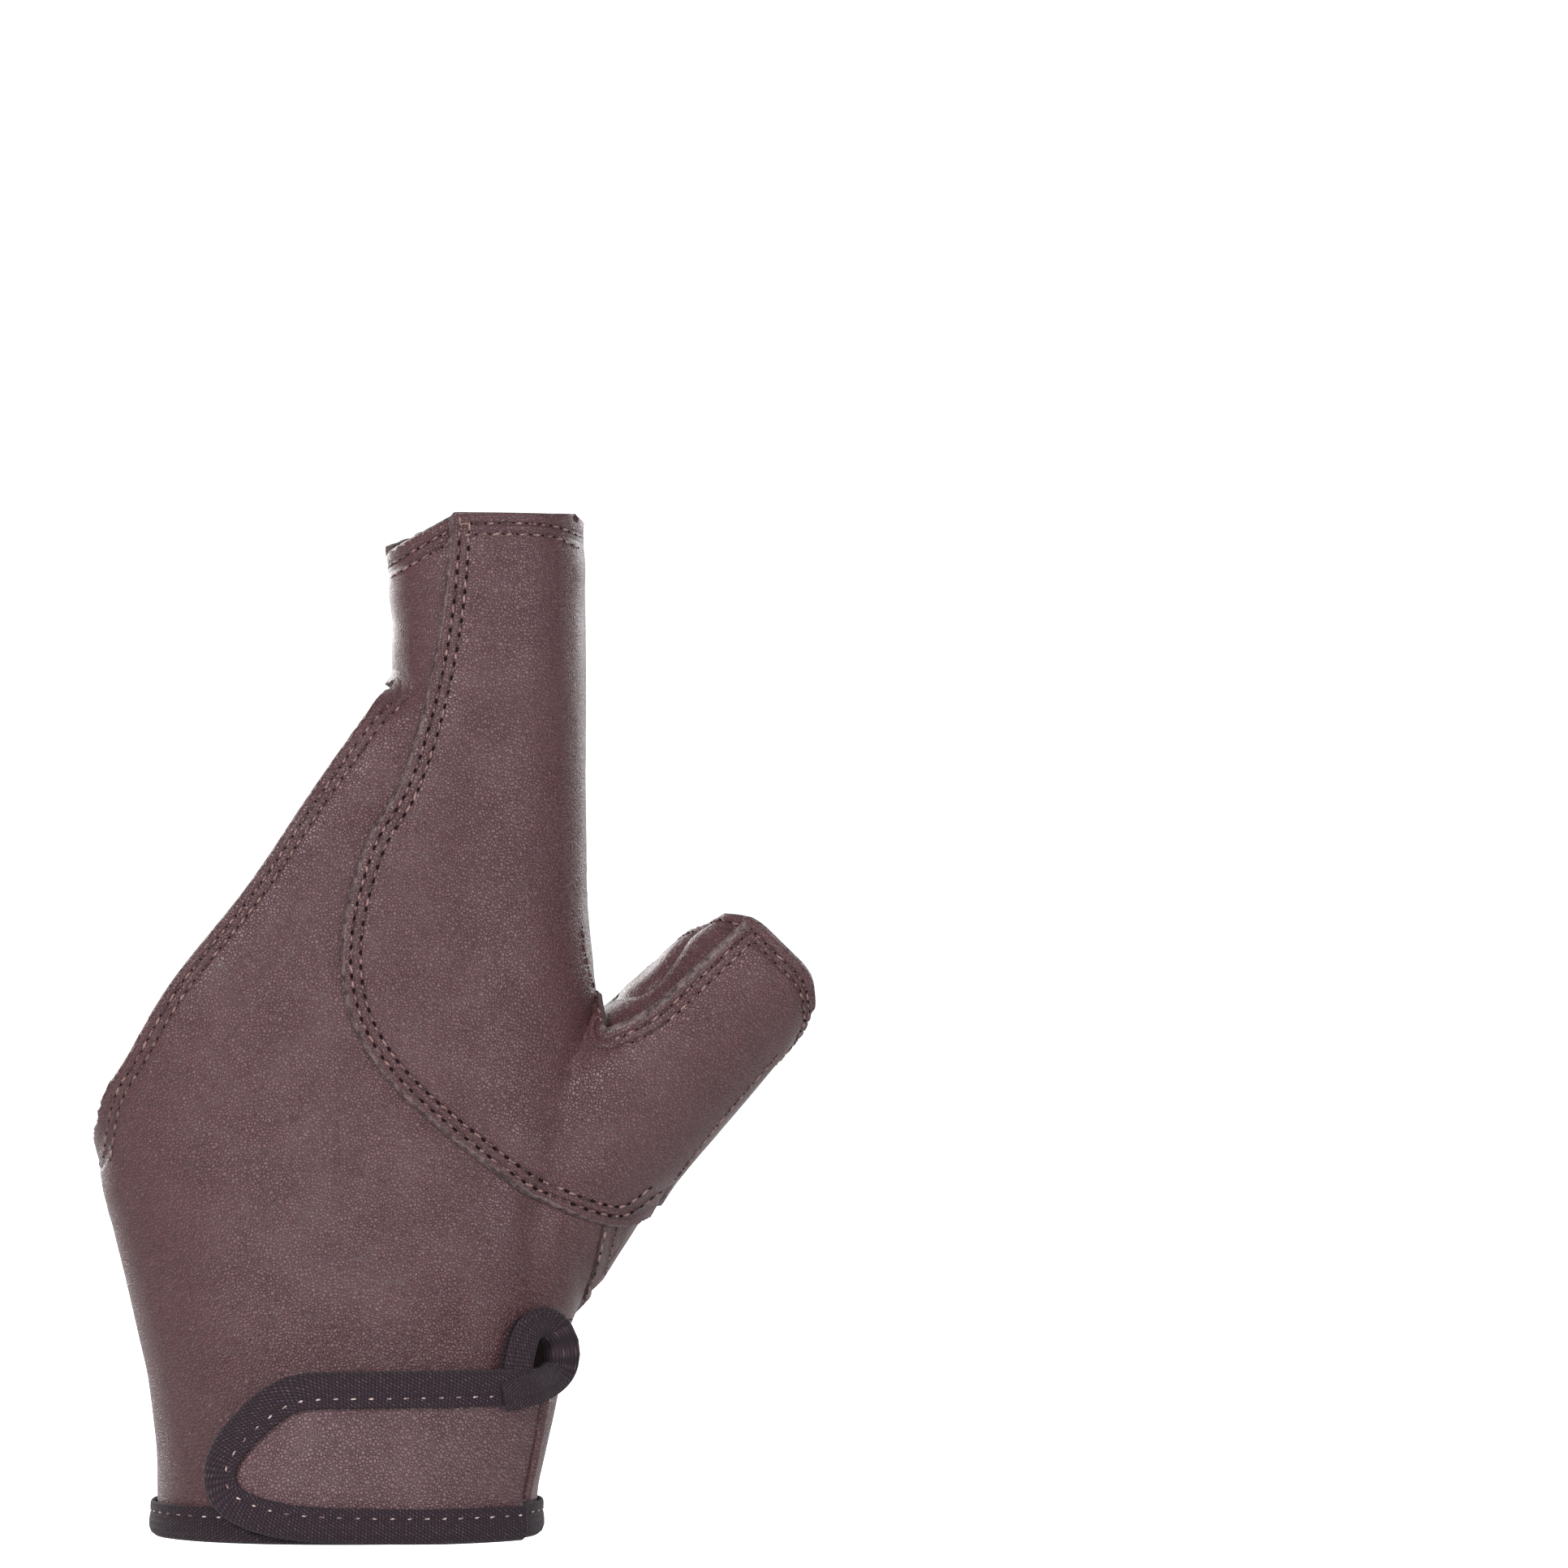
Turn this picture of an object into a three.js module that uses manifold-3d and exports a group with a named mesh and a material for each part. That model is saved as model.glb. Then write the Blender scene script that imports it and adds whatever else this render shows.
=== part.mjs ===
// A left-hand bow glove: leather over the back of the hand, the index finger, the thumb and the palm,
// with a gathered wrist, a closing strap and knit tape on the edges. Millimetres, +Z to the fingertips,
// +X to the thumb, the back of the hand facing -Y. The origin is the middle of the wrist hem.
import * as THREE from 'three';
import { mergeVertices } from 'three/addons/utils/BufferGeometryUtils.js';
import Module from 'manifold-3d';

const wasm = await Module();
wasm.setup();

// Driving sizes
const gloveLength = 158.6; // wrist hem to the top of the index sleeve
const gloveWidth = 110.6; // little-finger side to the thumb opening
const wristDepth = 39; // hollow, back to palm
const leather = 1.2;
const tape = 0.8; // one layer of the knit tape
const tapeWidth = 5.2; // from the folded edge to the tape's cut edge
const clearance = 0.3; // between touching layers
const lap = 6; // how far one leather runs under the next
const strapLift = 2.5; // strap's underside above the back leather
const pleatDepth = 1.5;
const pleatCount = 6;
const creaseDepth = 1.2;
const rollWidth = 2.4; // rolled palm leather beside the strap's root

// Facets
const handSides = 46;
const thumbSides = 28;
const thumbSteps = 7;
const curveSteps = 2;
const reach = 60; // half the depth of the cutting blocks

// Layers, each with its inner face this far outside the hollow
const lowerLayer = -leather - clearance;
const middleLayer = 0;
const upperLayer = leather + clearance;
const strapLayer = leather + strapLift;

// Hand and index finger, from the wrist up. Heights are shares of the glove's length,
// sides of its width, depths of the wrist's depth.
const handSections = [
  // height, little-finger side, thumb side, back, palm, squareness
  { at: -0.05, ulnar: -0.255, radial: 0.256, back: -0.49, palm: 0.49, square: 2.2 },
  { at: 0, ulnar: -0.255, radial: 0.256, back: -0.5, palm: 0.5, square: 2.2 },
  { at: 0.038, ulnar: -0.255, radial: 0.258, back: -0.5, palm: 0.5, square: 2.2 },
  { at: 0.076, ulnar: -0.256, radial: 0.269, back: -0.495, palm: 0.495, square: 2.2 },
  { at: 0.113, ulnar: -0.261, radial: 0.281, back: -0.487, palm: 0.48, square: 2.2 },
  { at: 0.152, ulnar: -0.268, radial: 0.292, back: -0.48, palm: 0.455, square: 2.2 },
  { at: 0.189, ulnar: -0.28, radial: 0.299, back: -0.47, palm: 0.465, square: 2.3 },
  { at: 0.24, ulnar: -0.297, radial: 0.325, back: -0.456, palm: 0.467, square: 2.3 },
  { at: 0.303, ulnar: -0.319, radial: 0.35, back: -0.436, palm: 0.446, square: 2.4 },
  { at: 0.378, ulnar: -0.343, radial: 0.345, back: -0.415, palm: 0.423, square: 2.5 },
  { at: 0.467, ulnar: -0.366, radial: 0.33, back: -0.397, palm: 0.397, square: 2.5 },
  { at: 0.555, ulnar: -0.38, radial: 0.324, back: -0.385, palm: 0.38, square: 2.5 },
  { at: 0.63, ulnar: -0.362, radial: 0.315, back: -0.372, palm: 0.359, square: 2.5 },
  { at: 0.694, ulnar: -0.298, radial: 0.314, back: -0.359, palm: 0.333, square: 2.5 },
  { at: 0.75, ulnar: -0.163, radial: 0.313, back: -0.341, palm: 0.308, square: 2.4 },
  { at: 0.794, ulnar: -0.027, radial: 0.312, back: -0.323, palm: 0.29, square: 2.3 },
  { at: 0.826, ulnar: 0.077, radial: 0.312, back: -0.313, palm: 0.282, square: 2.3 },
  { at: 0.883, ulnar: 0.083, radial: 0.312, back: -0.308, palm: 0.277, square: 2.3 },
  { at: 0.946, ulnar: 0.071, radial: 0.311, back: -0.308, palm: 0.277, square: 2.3 },
  { at: 1, ulnar: 0.061, radial: 0.309, back: -0.308, palm: 0.277, square: 2.3 },
  { at: 1.05, ulnar: 0.055, radial: 0.308, back: -0.308, palm: 0.277, square: 2.3 },
];

// Thumb, from its opening back into the hand: its lower and web side as shares of width and length.
const thumbSections = [
  // lower side, web side, back, palm
  { lower: [0.699, 0.559], web: [0.567, 0.648], back: -0.18, palm: 0.372 },
  { lower: [0.646, 0.516], web: [0.506, 0.61], back: -0.18, palm: 0.372 },
  { lower: [0.576, 0.458], web: [0.426, 0.56], back: -0.205, palm: 0.397 },
  { lower: [0.505, 0.4], web: [0.344, 0.509], back: -0.231, palm: 0.449 },
  { lower: [0.436, 0.342], web: [0.264, 0.458], back: -0.256, palm: 0.5 },
  { lower: [0.38, 0.281], web: [0.175, 0.413], back: -0.282, palm: 0.538 },
  { lower: [0.32, 0.222], web: [0.087, 0.368], back: -0.256, palm: 0.51 },
  { lower: [0.212, 0.178], web: [0.032, 0.3], back: -0.154, palm: 0.385 },
];
const thumbSquare = 2.2;

// Creases pressed into the leather: side of the hand, ends, and half width as a share of the width.
const creases = [
  { side: -1, from: [0.274, 0.335], to: [0.264, 0.25], width: 0.025 },
  { side: 1, from: [0.507, 0.426], to: [0.332, 0.296], width: 0.022 },
  { side: 1, from: [0.332, 0.296], to: [0.204, 0.192], width: 0.022 },
];

// The gathers fade out at the elastic and lean towards the little finger as they go down.
const gatherHeight = 0.165;
const gatherLean = 0.25;
const gatherReach = 0.24;

// Edges of the leather, as shares of the width and the length
const backDiagonal = [
  [0.073, 0.829], [0.032, 0.801], [-0.045, 0.726], [-0.131, 0.637],
  [-0.238, 0.543], [-0.298, 0.473], [-0.333, 0.431], [-0.352, 0.373],
];
const palmDiagonal = [
  [0.103, 0.829], [0.076, 0.763], [0.045, 0.683], [-0.005, 0.613],
  [-0.064, 0.562], [-0.19, 0.464], [-0.308, 0.39], [-0.352, 0.356],
];
const backSeam = [
  [0.153, 1.03], [0.144, 0.924], [0.121, 0.828], [0.083, 0.74], [0.033, 0.677], [0.002, 0.595],
  [0.006, 0.526], [0.042, 0.469], [0.11, 0.416], [0.231, 0.348], [0.292, 0.324], [0.386, 0.303],
  [0.446, 0.324],
];
const webEdge = [[0.37, 0.494], [0.429, 0.515], [0.495, 0.557], [0.556, 0.597]];
const thumbRimBack = [[0.556, 0.598], [0.59, 0.582], [0.616, 0.566], [0.642, 0.544], [0.648, 0.527]];
const thumbRimPalm = [[0.468, 0.573], [0.45, 0.535], [0.462, 0.503], [0.528, 0.446]];
const fingerSeam = [[0.213, 1.03], [0.25, 0.885], [0.292, 0.746], [0.335, 0.618], [0.367, 0.523]];
const thumbSeam = [
  [0.361, 0.253], [0.319, 0.226], [0.286, 0.201], [0.247, 0.182], [0.165, 0.195], [0.074, 0.228],
  [0.032, 0.292], [0.038, 0.371], [0.077, 0.461], [0.187, 0.571],
];
const palmNotch = [[0.182, 0.53], [0.182, 0.457], [0.2, 0.449], [0.262, 0.475], [0.335, 0.503]];
const thumbFreeEdge = [[0.425, 0.312], [0.452, 0.353], [0.506, 0.4], [0.565, 0.45], [0.615, 0.501]];
const sideSeam = [[0.374, 0.338], [0.359, 0.305], [0.344, 0.262], [0.318, 0.215]];
const fingerTop = [
  [0, 0.939], [0.057, 0.96], [0.161, 1], [0.313, 0.999], [0.334, 0.984], [0.407, 0.958],
];
const webLimit = 0.362; // the palm's leather stops here beside the index finger
const palmWallEdge = 0.095; // where the back's leather ends round the sleeve's little-finger side

const strapOutline = [
  [0.33, 0.036], [0.146, 0.034], [-0.044, 0.038], [-0.124, 0.052], [-0.139, 0.07],
  [-0.113, 0.098], [-0.067, 0.126], [-0.033, 0.132], [0.061, 0.133], [0.33, 0.134],
];
const strapTop = 0.134;
const strapRoot = -0.35; // where the strap ends at the thumb side, as a share of the wrist's depth
const ventHole = [[0.259, 0.164], [0.261, 0.19], [0.274, 0.203], [0.286, 0.189], [0.286, 0.165]];
const slitSides = [0.165, 0.19];

const millimetres = ([x, z]) => new THREE.Vector2(x * gloveWidth, z * gloveLength);

function smooth(points, stepsEach = curveSteps) {
  const curve = new THREE.SplineCurve(points.map(millimetres));
  return curve.getPoints((points.length - 1) * stepsEach);
}

function shifted(line, distance) {
  // Moves a line sideways, to its left for a positive distance
  return line.map((point, i) => {
    const before = line[Math.max(i - 1, 0)];
    const after = line[Math.min(i + 1, line.length - 1)];
    const along = after.clone().sub(before).normalize();
    return new THREE.Vector2(point.x - along.y * distance, point.y + along.x * distance);
  });
}

function solid(geometry) {
  geometry.deleteAttribute('normal');
  geometry.deleteAttribute('uv');
  const merged = mergeVertices(geometry, 1e-4);
  return new wasm.Manifold(new wasm.Mesh({
    numProp: 3,
    vertProperties: Float32Array.from(merged.attributes.position.array),
    triVerts: Uint32Array.from(merged.index.array),
  }));
}

function block(outline, fromY, toY) {
  // An outline in X and Z, made a block from one Y to the other
  const geometry = new THREE.ExtrudeGeometry(new THREE.Shape(outline), {
    depth: toY - fromY,
    bevelEnabled: false,
    curveSegments: 1,
  });
  geometry.rotateX(Math.PI / 2);
  geometry.translate(0, toY, 0);
  return solid(geometry);
}

function slab(fromZ, toZ) {
  const geometry = new THREE.BoxGeometry(4 * gloveWidth, 2 * reach, toZ - fromZ);
  geometry.translate(0, 0, (fromZ + toZ) / 2);
  return solid(geometry);
}

function foldDepth(x, z, side) {
  // How far the leather stands out (+) or in (-) at a point of the back (-1) or palm (1)
  let depth = 0;
  for (const crease of creases.filter((row) => row.side === side)) {
    const from = millimetres(crease.from);
    const to = millimetres(crease.to);
    const along = to.clone().sub(from);
    const here = new THREE.Vector2(x, z);
    const share = here.clone().sub(from).dot(along) / along.lengthSq();
    const nearest = from.addScaledVector(along, THREE.MathUtils.clamp(share, 0, 1));
    const away = nearest.distanceTo(here);
    depth -= creaseDepth * Math.exp(-((away / (crease.width * gloveWidth)) ** 2));
  }
  const height = z / (gatherHeight * gloveLength);
  const across = x / (gatherReach * gloveWidth);
  if (side === 1 && height > 0 && height < 1 && Math.abs(across) < 1) {
    const fade = Math.sin(Math.PI * Math.min(height * 0.75 + 0.15, 1)) * Math.sqrt(1 - across ** 2);
    const turn = (across - gatherLean * (1 - height)) * pleatCount * Math.PI;
    depth += pleatDepth * fade * Math.cos(turn);
  }
  return depth;
}

function ovalPoint(section, angle, offset) {
  // A point of a squared oval between a section's two sides, its back and its palm, pushed outwards
  const wave = (value) => Math.sign(value) * Math.abs(value) ** (2 / section.square);
  const at = (a) => {
    const middle = section.near.clone().add(section.far).multiplyScalar(0.5);
    const half = section.near.clone().sub(section.far).multiplyScalar(0.5);
    const sideways = half.length() * wave(Math.cos(a));
    const deep = (section.palm - section.back) / 2 * wave(Math.sin(a));
    return { middle, half, sideways, deep: deep + (section.palm + section.back) / 2 };
  };
  const step = 0.03;
  const here = at(angle);
  const before = at(angle - step);
  const after = at(angle + step);
  const normal = new THREE.Vector2(after.deep - before.deep, before.sideways - after.sideways).normalize();
  const direction = here.half.clone().normalize();
  const x = here.middle.x + direction.x * here.sideways;
  const z = here.middle.y + direction.y * here.sideways;
  const push = offset + foldDepth(x, z, Math.sin(angle) < 0 ? -1 : 1);
  const outX = x + direction.x * normal.x * push;
  const outZ = z + direction.y * normal.x * push;
  return new THREE.Vector3(outX, here.deep + normal.y * push, outZ);
}

function loft(sections, sides, offset) {
  // A capped cylinder whose rings are moved onto the sections
  const geometry = new THREE.CylinderGeometry(1, 1, 1, sides, sections.length - 1);
  geometry.deleteAttribute('normal');
  geometry.deleteAttribute('uv');
  const merged = mergeVertices(geometry, 1e-5);
  const place = merged.attributes.position;
  for (let i = 0; i < place.count; i += 1) {
    const row = Math.round((place.getY(i) + 0.5) * (sections.length - 1));
    const section = sections[row];
    const radius = Math.hypot(place.getX(i), place.getZ(i));
    const angle = Math.atan2(-place.getZ(i), place.getX(i));
    let point = ovalPoint(section, angle, offset);
    if (radius < 0.5) {
      const middle = section.near.clone().add(section.far).multiplyScalar(0.5);
      point = new THREE.Vector3(middle.x, (section.back + section.palm) / 2, middle.y);
    }
    place.setXYZ(i, point.x, point.y, point.z);
  }
  return solid(merged);
}

const handRings = handSections.map((row) => ({
  near: millimetres([row.radial, row.at]),
  far: millimetres([row.ulnar, row.at]),
  back: row.back * wristDepth,
  palm: row.palm * wristDepth,
  square: row.square,
}));

function thumbRings() {
  const lower = new THREE.SplineCurve(thumbSections.map((row) => millimetres(row.lower)));
  const web = new THREE.SplineCurve(thumbSections.map((row) => millimetres(row.web)));
  const depths = new THREE.SplineCurve(thumbSections.map((row) => new THREE.Vector2(row.back, row.palm)));
  return Array.from({ length: thumbSteps + 1 }, (_, i) => {
    const share = 1 - i / thumbSteps;
    const depth = depths.getPoint(share);
    return {
      near: lower.getPoint(share),
      far: web.getPoint(share),
      back: depth.x * wristDepth,
      palm: depth.y * wristDepth,
      square: thumbSquare,
    };
  });
}

const forms = new Map();

function form(offset) {
  // The hand's form grown by an offset, with index finger and thumb
  if (!forms.has(offset)) {
    const hand = loft(handRings, handSides, offset);
    const thumb = loft(thumbRings(), thumbSides, offset);
    forms.set(offset, hand.add(thumb));
  }
  return forms.get(offset);
}

function shell(inner, thickness) {
  return form(inner + thickness).subtract(form(inner));
}

const point = (x, z) => millimetres([x, z]);
const far = 0.9; // a share of the width that lies outside the glove
const hemLine = tape + clearance;
const bottom = (x) => new THREE.Vector2(x * gloveWidth, hemLine);
const halfGap = clearance / 2;

// Regions of the leathers, seen from the back or the palm
const fingerTopLine = fingerTop.map(millimetres);
const seamUnderLap = shifted(smooth(backSeam.slice(0, 11)), lap);
const slitTop = 0.213;
const fingerSide = [
  point(0.371, 0.53), point(0.371, 0.6), point(0.41, 0.66),
  fingerTopLine[5], fingerTopLine[4], fingerTopLine[3],
];

function backRegion() {
  const outline = [
    point(0, 0.829), fingerTopLine[0], fingerTopLine[1], fingerTopLine[2],
    ...seamUnderLap.filter((p) => p.y < gloveLength),
    ...sideSeam.map(millimetres).map((p) => p.clone().setX(p.x - halfGap)),
    point(0.302, slitTop), point(0.246, slitTop), point(0.246, 0.175), point(0.2, 0.14),
    point(slitSides[0], 0.1), bottom(slitSides[0]),
    bottom(-far), point(-far, 0.373),
    ...smooth(backDiagonal).reverse(),
  ];
  return outline;
}

function sleeveWallRegion() {
  const edge = palmWallEdge * gloveWidth - halfGap;
  return [
    point(-0.02, 0.829), new THREE.Vector2(edge, 0.829 * gloveLength),
    new THREE.Vector2(edge, 0.98 * gloveLength), point(-0.02, 0.939),
  ];
}

function overlayRegion() {
  return [
    ...smooth(backSeam).filter((p) => p.y < gloveLength),
    point(0.5, 0.27), point(0.75, 0.43), point(0.657, 0.49),
    ...thumbRimBack.map(millimetres).reverse(),
    ...smooth(webEdge).reverse(),
    ...fingerSide,
    point(0.153, 1),
  ];
}

function fingerWrapRegion() {
  return [
    ...smooth(fingerSeam).filter((p) => p.y < gloveLength),
    ...fingerSide,
    point(0.213, 1),
  ];
}

function thumbWrapRegion() {
  return [
    ...smooth(thumbFreeEdge), point(0.645, 0.52), point(0.657, 0.49), point(0.75, 0.43), point(0.5, 0.27),
  ];
}

const ulnarFar = [bottom(-far), point(-far, 0.356)];
const wallCorner = (z) => new THREE.Vector2(palmWallEdge * gloveWidth + halfGap, z * gloveLength);

function palmRegion() {
  const underFinger = shifted(smooth(fingerSeam), lap)
    .filter((p) => p.y < gloveLength * 0.98)
    .map((p) => p.clone().setX(Math.min(p.x, webLimit * gloveWidth)));
  return [
    ...ulnarFar,
    ...smooth(palmDiagonal).reverse(),
    wallCorner(0.829), wallCorner(0.983), point(0.13, 0.99),
    point(0.29, 0.999),
    ...underFinger,
    ...palmNotch.map(millimetres).reverse(),
    ...smooth(thumbSeam).reverse(),
    point(0.37, 0.285), point(0.42, 0.34), point(0.6, 0.34), bottom(0.6),
  ];
}

function wristWrapRegion() {
  return [
    ...sideSeam.map(millimetres).map((p) => p.clone().setX(p.x + halfGap)),
    point(0.314, 0.2), point(0.296, 0.2), point(0.296, 0.16), point(0.24, 0.125), point(slitSides[1], 0.07),
    bottom(slitSides[1]), bottom(far), point(far, 0.338),
  ];
}

function thumbPalmRegion() {
  const underSeam = shifted(smooth(thumbSeam), lap - 1);
  return [
    point(0.8, 0.15), point(0.4, 0.19), ...underSeam.slice(2),
    point(0.2, 0.61), point(0.235, 0.56), point(0.225, 0.495), point(0.26, 0.507), point(0.32, 0.535),
    point(0.35, 0.56), point(0.4, 0.62),
    ...smooth(thumbRimPalm), point(0.62, 0.4), point(0.8, 0.42),
  ];
}

function thumbWebRegion() {
  const underWeb = shifted(smooth(webEdge), -lap);
  return [
    point(0.33, 0.5), ...underWeb, point(0.59, 0.582), point(0.556, 0.6),
    point(0.515, 0.625), point(0.33, 0.6),
  ];
}

// Leather pieces
function backPanel() {
  const back = block(backRegion(), -reach, -halfGap);
  const sleeveWall = block(sleeveWallRegion(), -halfGap - clearance, reach);
  return shell(middleLayer, leather).intersect(back.add(sleeveWall));
}

function indexThumbPanel() {
  const fingerWrap = block(fingerWrapRegion(), -halfGap, reach);
  const thumbWrap = block(thumbWrapRegion(), -halfGap, reach);
  const back = block(overlayRegion(), -reach, 0);
  return shell(upperLayer, leather).intersect(back.add(fingerWrap).add(thumbWrap));
}

function palmPanel() {
  const palm = block(palmRegion(), halfGap, reach);
  const wristWrap = block(wristWrapRegion(), -reach, clearance);
  const rootY = strapRoot * wristDepth + clearance;
  const roll = block([
    new THREE.Vector2(0, hemLine + tapeWidth), new THREE.Vector2(far * gloveWidth, hemLine + tapeWidth),
    point(far, strapTop), point(0, strapTop),
  ], rootY, rootY + rollWidth);
  const raised = shell(middleLayer, strapLayer + leather).intersect(roll);
  return shell(middleLayer, leather).intersect(palm.add(wristWrap)).add(raised);
}

function thumbPanel() {
  const region = block(thumbPalmRegion(), 0, reach).add(block(thumbWebRegion(), -reach, clearance));
  return shell(lowerLayer, leather).intersect(region);
}

// Strap and tapes
const strapLine = smooth(strapOutline);

function grown(line, distance) {
  return shifted(line, distance).map((p) => new THREE.Vector2(p.x, Math.max(p.y, 0)));
}

function strapBlock(distance) {
  return block(grown(strapLine, distance), -reach, strapRoot * wristDepth);
}

const edgeThickness = leather + 2 * (clearance + tape);

function wristStrap() {
  return shell(strapLayer, leather).intersect(strapBlock(tapeWidth - tape - clearance));
}

function strapBinding() {
  const whole = strapBlock(tapeWidth).subtract(strapBlock(0));
  const fold = strapBlock(tapeWidth - tape);
  const outside = form(strapLayer + leather + clearance + tape);
  const body = outside.subtract(form(strapLayer - clearance - tape)).intersect(whole);
  const groove = shell(strapLayer - clearance, leather + 2 * clearance).intersect(fold);
  return body.subtract(groove);
}

function wristBinding() {
  const body = shell(-clearance - tape, edgeThickness).intersect(slab(0, tapeWidth));
  const groove = shell(-clearance, leather + 2 * clearance).intersect(slab(tape, tapeWidth + 1));
  const slit = block([
    point(slitSides[0], -0.1), point(slitSides[1], -0.1), point(slitSides[1], 0.1), point(slitSides[0], 0.1),
  ], -reach, 0);
  return body.subtract(groove).subtract(slit);
}

function ventBinding() {
  const hole = smooth(ventHole);
  const around = shifted(hole, tapeWidth - tape);
  const fold = shifted(hole, tape);
  const body = shell(-clearance - tape, edgeThickness).intersect(block(around, -reach, -clearance));
  const groove = shell(-clearance, leather + 2 * clearance).subtract(block(fold, -reach, reach));
  return body.subtract(block(hole, -reach, reach)).subtract(groove);
}

const leatherLook = { color: 0x6f5456, roughness: 0.55, metalness: 0 };
const tapeLook = { color: 0x322a34, roughness: 0.9, metalness: 0 };

function piece(name, shape, look) {
  const mesh = shape.getMesh();
  const geometry = new THREE.BufferGeometry();
  geometry.setAttribute('position', new THREE.BufferAttribute(mesh.vertProperties, 3));
  geometry.setIndex(new THREE.BufferAttribute(mesh.triVerts, 1));
  geometry.computeVertexNormals();
  const made = new THREE.Mesh(geometry, new THREE.MeshStandardMaterial(look));
  made.name = name;
  return made;
}

const group = new THREE.Group();
group.add(piece('back_panel', backPanel(), leatherLook));
group.add(piece('index_thumb_panel', indexThumbPanel(), leatherLook));
group.add(piece('palm_panel', palmPanel(), leatherLook));
group.add(piece('thumb_panel', thumbPanel(), leatherLook));
group.add(piece('wrist_strap', wristStrap(), leatherLook));
group.add(piece('strap_binding', strapBinding(), tapeLook));
group.add(piece('wrist_binding', wristBinding(), tapeLook));
group.add(piece('vent_binding', ventBinding(), tapeLook));

export default group;
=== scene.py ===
import math
import random

import bmesh
import bpy
import numpy as np
from mathutils import Matrix, Vector, noise
from mathutils.bvhtree import BVHTree


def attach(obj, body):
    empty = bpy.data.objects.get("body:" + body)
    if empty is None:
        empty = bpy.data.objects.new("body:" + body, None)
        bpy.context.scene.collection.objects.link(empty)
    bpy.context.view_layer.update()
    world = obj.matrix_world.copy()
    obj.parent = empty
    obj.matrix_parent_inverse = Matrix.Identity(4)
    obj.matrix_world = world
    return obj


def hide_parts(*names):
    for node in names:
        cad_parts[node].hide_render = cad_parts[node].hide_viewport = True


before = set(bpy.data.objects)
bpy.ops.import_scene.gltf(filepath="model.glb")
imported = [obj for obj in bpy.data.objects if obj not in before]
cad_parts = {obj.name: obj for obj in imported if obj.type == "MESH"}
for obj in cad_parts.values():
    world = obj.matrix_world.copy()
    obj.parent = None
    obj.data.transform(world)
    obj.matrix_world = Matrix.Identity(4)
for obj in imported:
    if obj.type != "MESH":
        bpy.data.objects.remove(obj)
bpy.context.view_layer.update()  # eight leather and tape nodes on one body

random.seed(11)
print("glove: frame loaded")

# Left bow glove in metres. The back of the hand faces -Y, +X is the thumb, +Z the fingertips.
glove = {
    "length": 0.1586,
    "width": 0.1106,
    "depth": 0.039,
    "leather": 0.0012,
    "tape": 0.0008,
    "tapeWidth": 0.0052,
    "tapeCorner": 0.00022,
    "clearance": 0.0003,
    "lap": 0.006,
    "strapLift": 0.0025,
    "cell": 0.0007,  # mesh size of the leathers
}
halfGap = glove["clearance"] / 2
lowerLayer = -glove["leather"] - glove["clearance"]
middleLayer = 0.0
upperLayer = glove["leather"] + glove["clearance"]
strapLayer = glove["leather"] + glove["strapLift"]


# Camera
camera = {"lens": 200.0, "sensor": 36.0, "frameWidth": 0.2444, "across": 0.0682, "up": 0.1166}
eye = bpy.data.cameras.new("studio_camera")
eye.lens = camera["lens"]
eye.sensor_width = camera["sensor"]
eye.clip_start, eye.clip_end = 0.05, 20.0
eyeObject = bpy.data.objects.new("studio_camera", eye)
bpy.context.scene.collection.objects.link(eyeObject)
eyeDistance = camera["frameWidth"] * camera["lens"] / camera["sensor"]
eyeObject.location = (camera["across"], -eyeDistance, camera["up"])
eyeObject.rotation_euler = (math.radians(90), 0, 0)
bpy.context.scene.camera = eyeObject


# Curves and outlines, as shares of width and length
def share(x, z):
    return np.array([x * glove["width"], z * glove["length"]])


def shares(points):
    return [share(x, z) for x, z in points]


def smoothLine(points, steps=8):
    # A curve through every point
    places = shares(points)
    line = []
    for i in range(len(places) - 1):
        a = places[max(i - 1, 0)]
        b, c = places[i], places[i + 1]
        d = places[min(i + 2, len(places) - 1)]
        for k in range(steps):
            t = k / steps
            line.append(0.5 * (2 * b + (c - a) * t + (2 * a - 5 * b + 4 * c - d) * t * t
                               + (3 * b - a - 3 * c + d) * t ** 3))
    line.append(places[-1])
    return line


def shifted(line, distance):
    # Moves a line sideways, to its left for a positive distance
    line = np.array(line)
    along = np.gradient(line, axis=0)
    along /= np.linalg.norm(along, axis=1)[:, None] + 1e-12
    return list(line + np.stack([-along[:, 1], along[:, 0]], axis=1) * distance)


def lineDistance(places, line):
    line = np.array(line)
    a, b = line[:-1], line[1:]
    best = np.full(len(places), 1.0)
    for start, end in zip(a, b):
        step = end - start
        t = np.clip(((places - start) @ step) / (step @ step + 1e-18), 0, 1)
        away = np.linalg.norm(places - start - t[:, None] * step, axis=1)
        best = np.minimum(best, away)
    return best


def insideOutline(places, outline):
    # Distance to the outline, positive inside
    ring = np.array(outline)
    inside = np.zeros(len(places), bool)
    x, z = places[:, 0], places[:, 1]
    for (x0, z0), (x1, z1) in zip(ring, np.roll(ring, -1, axis=0)):
        crosses = (z0 > z) != (z1 > z)
        at = x0 + (z - z0) * (x1 - x0) / ((z1 - z0) or 1e-12)
        inside ^= crosses & (x < at)
    away = lineDistance(places, np.vstack([ring, ring[:1]]))
    return np.where(inside, away, -away)


def insideBlocks(places, blocks):
    # Blocks are outlines that hold from one depth to another
    value = np.full(len(places), -1.0)
    for outline, front, rear in blocks:
        flat = insideOutline(places[:, [0, 2]], outline)
        value = np.maximum(value, np.minimum(flat, np.minimum(places[:, 1] - front, rear - places[:, 1])))
    return value


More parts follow.
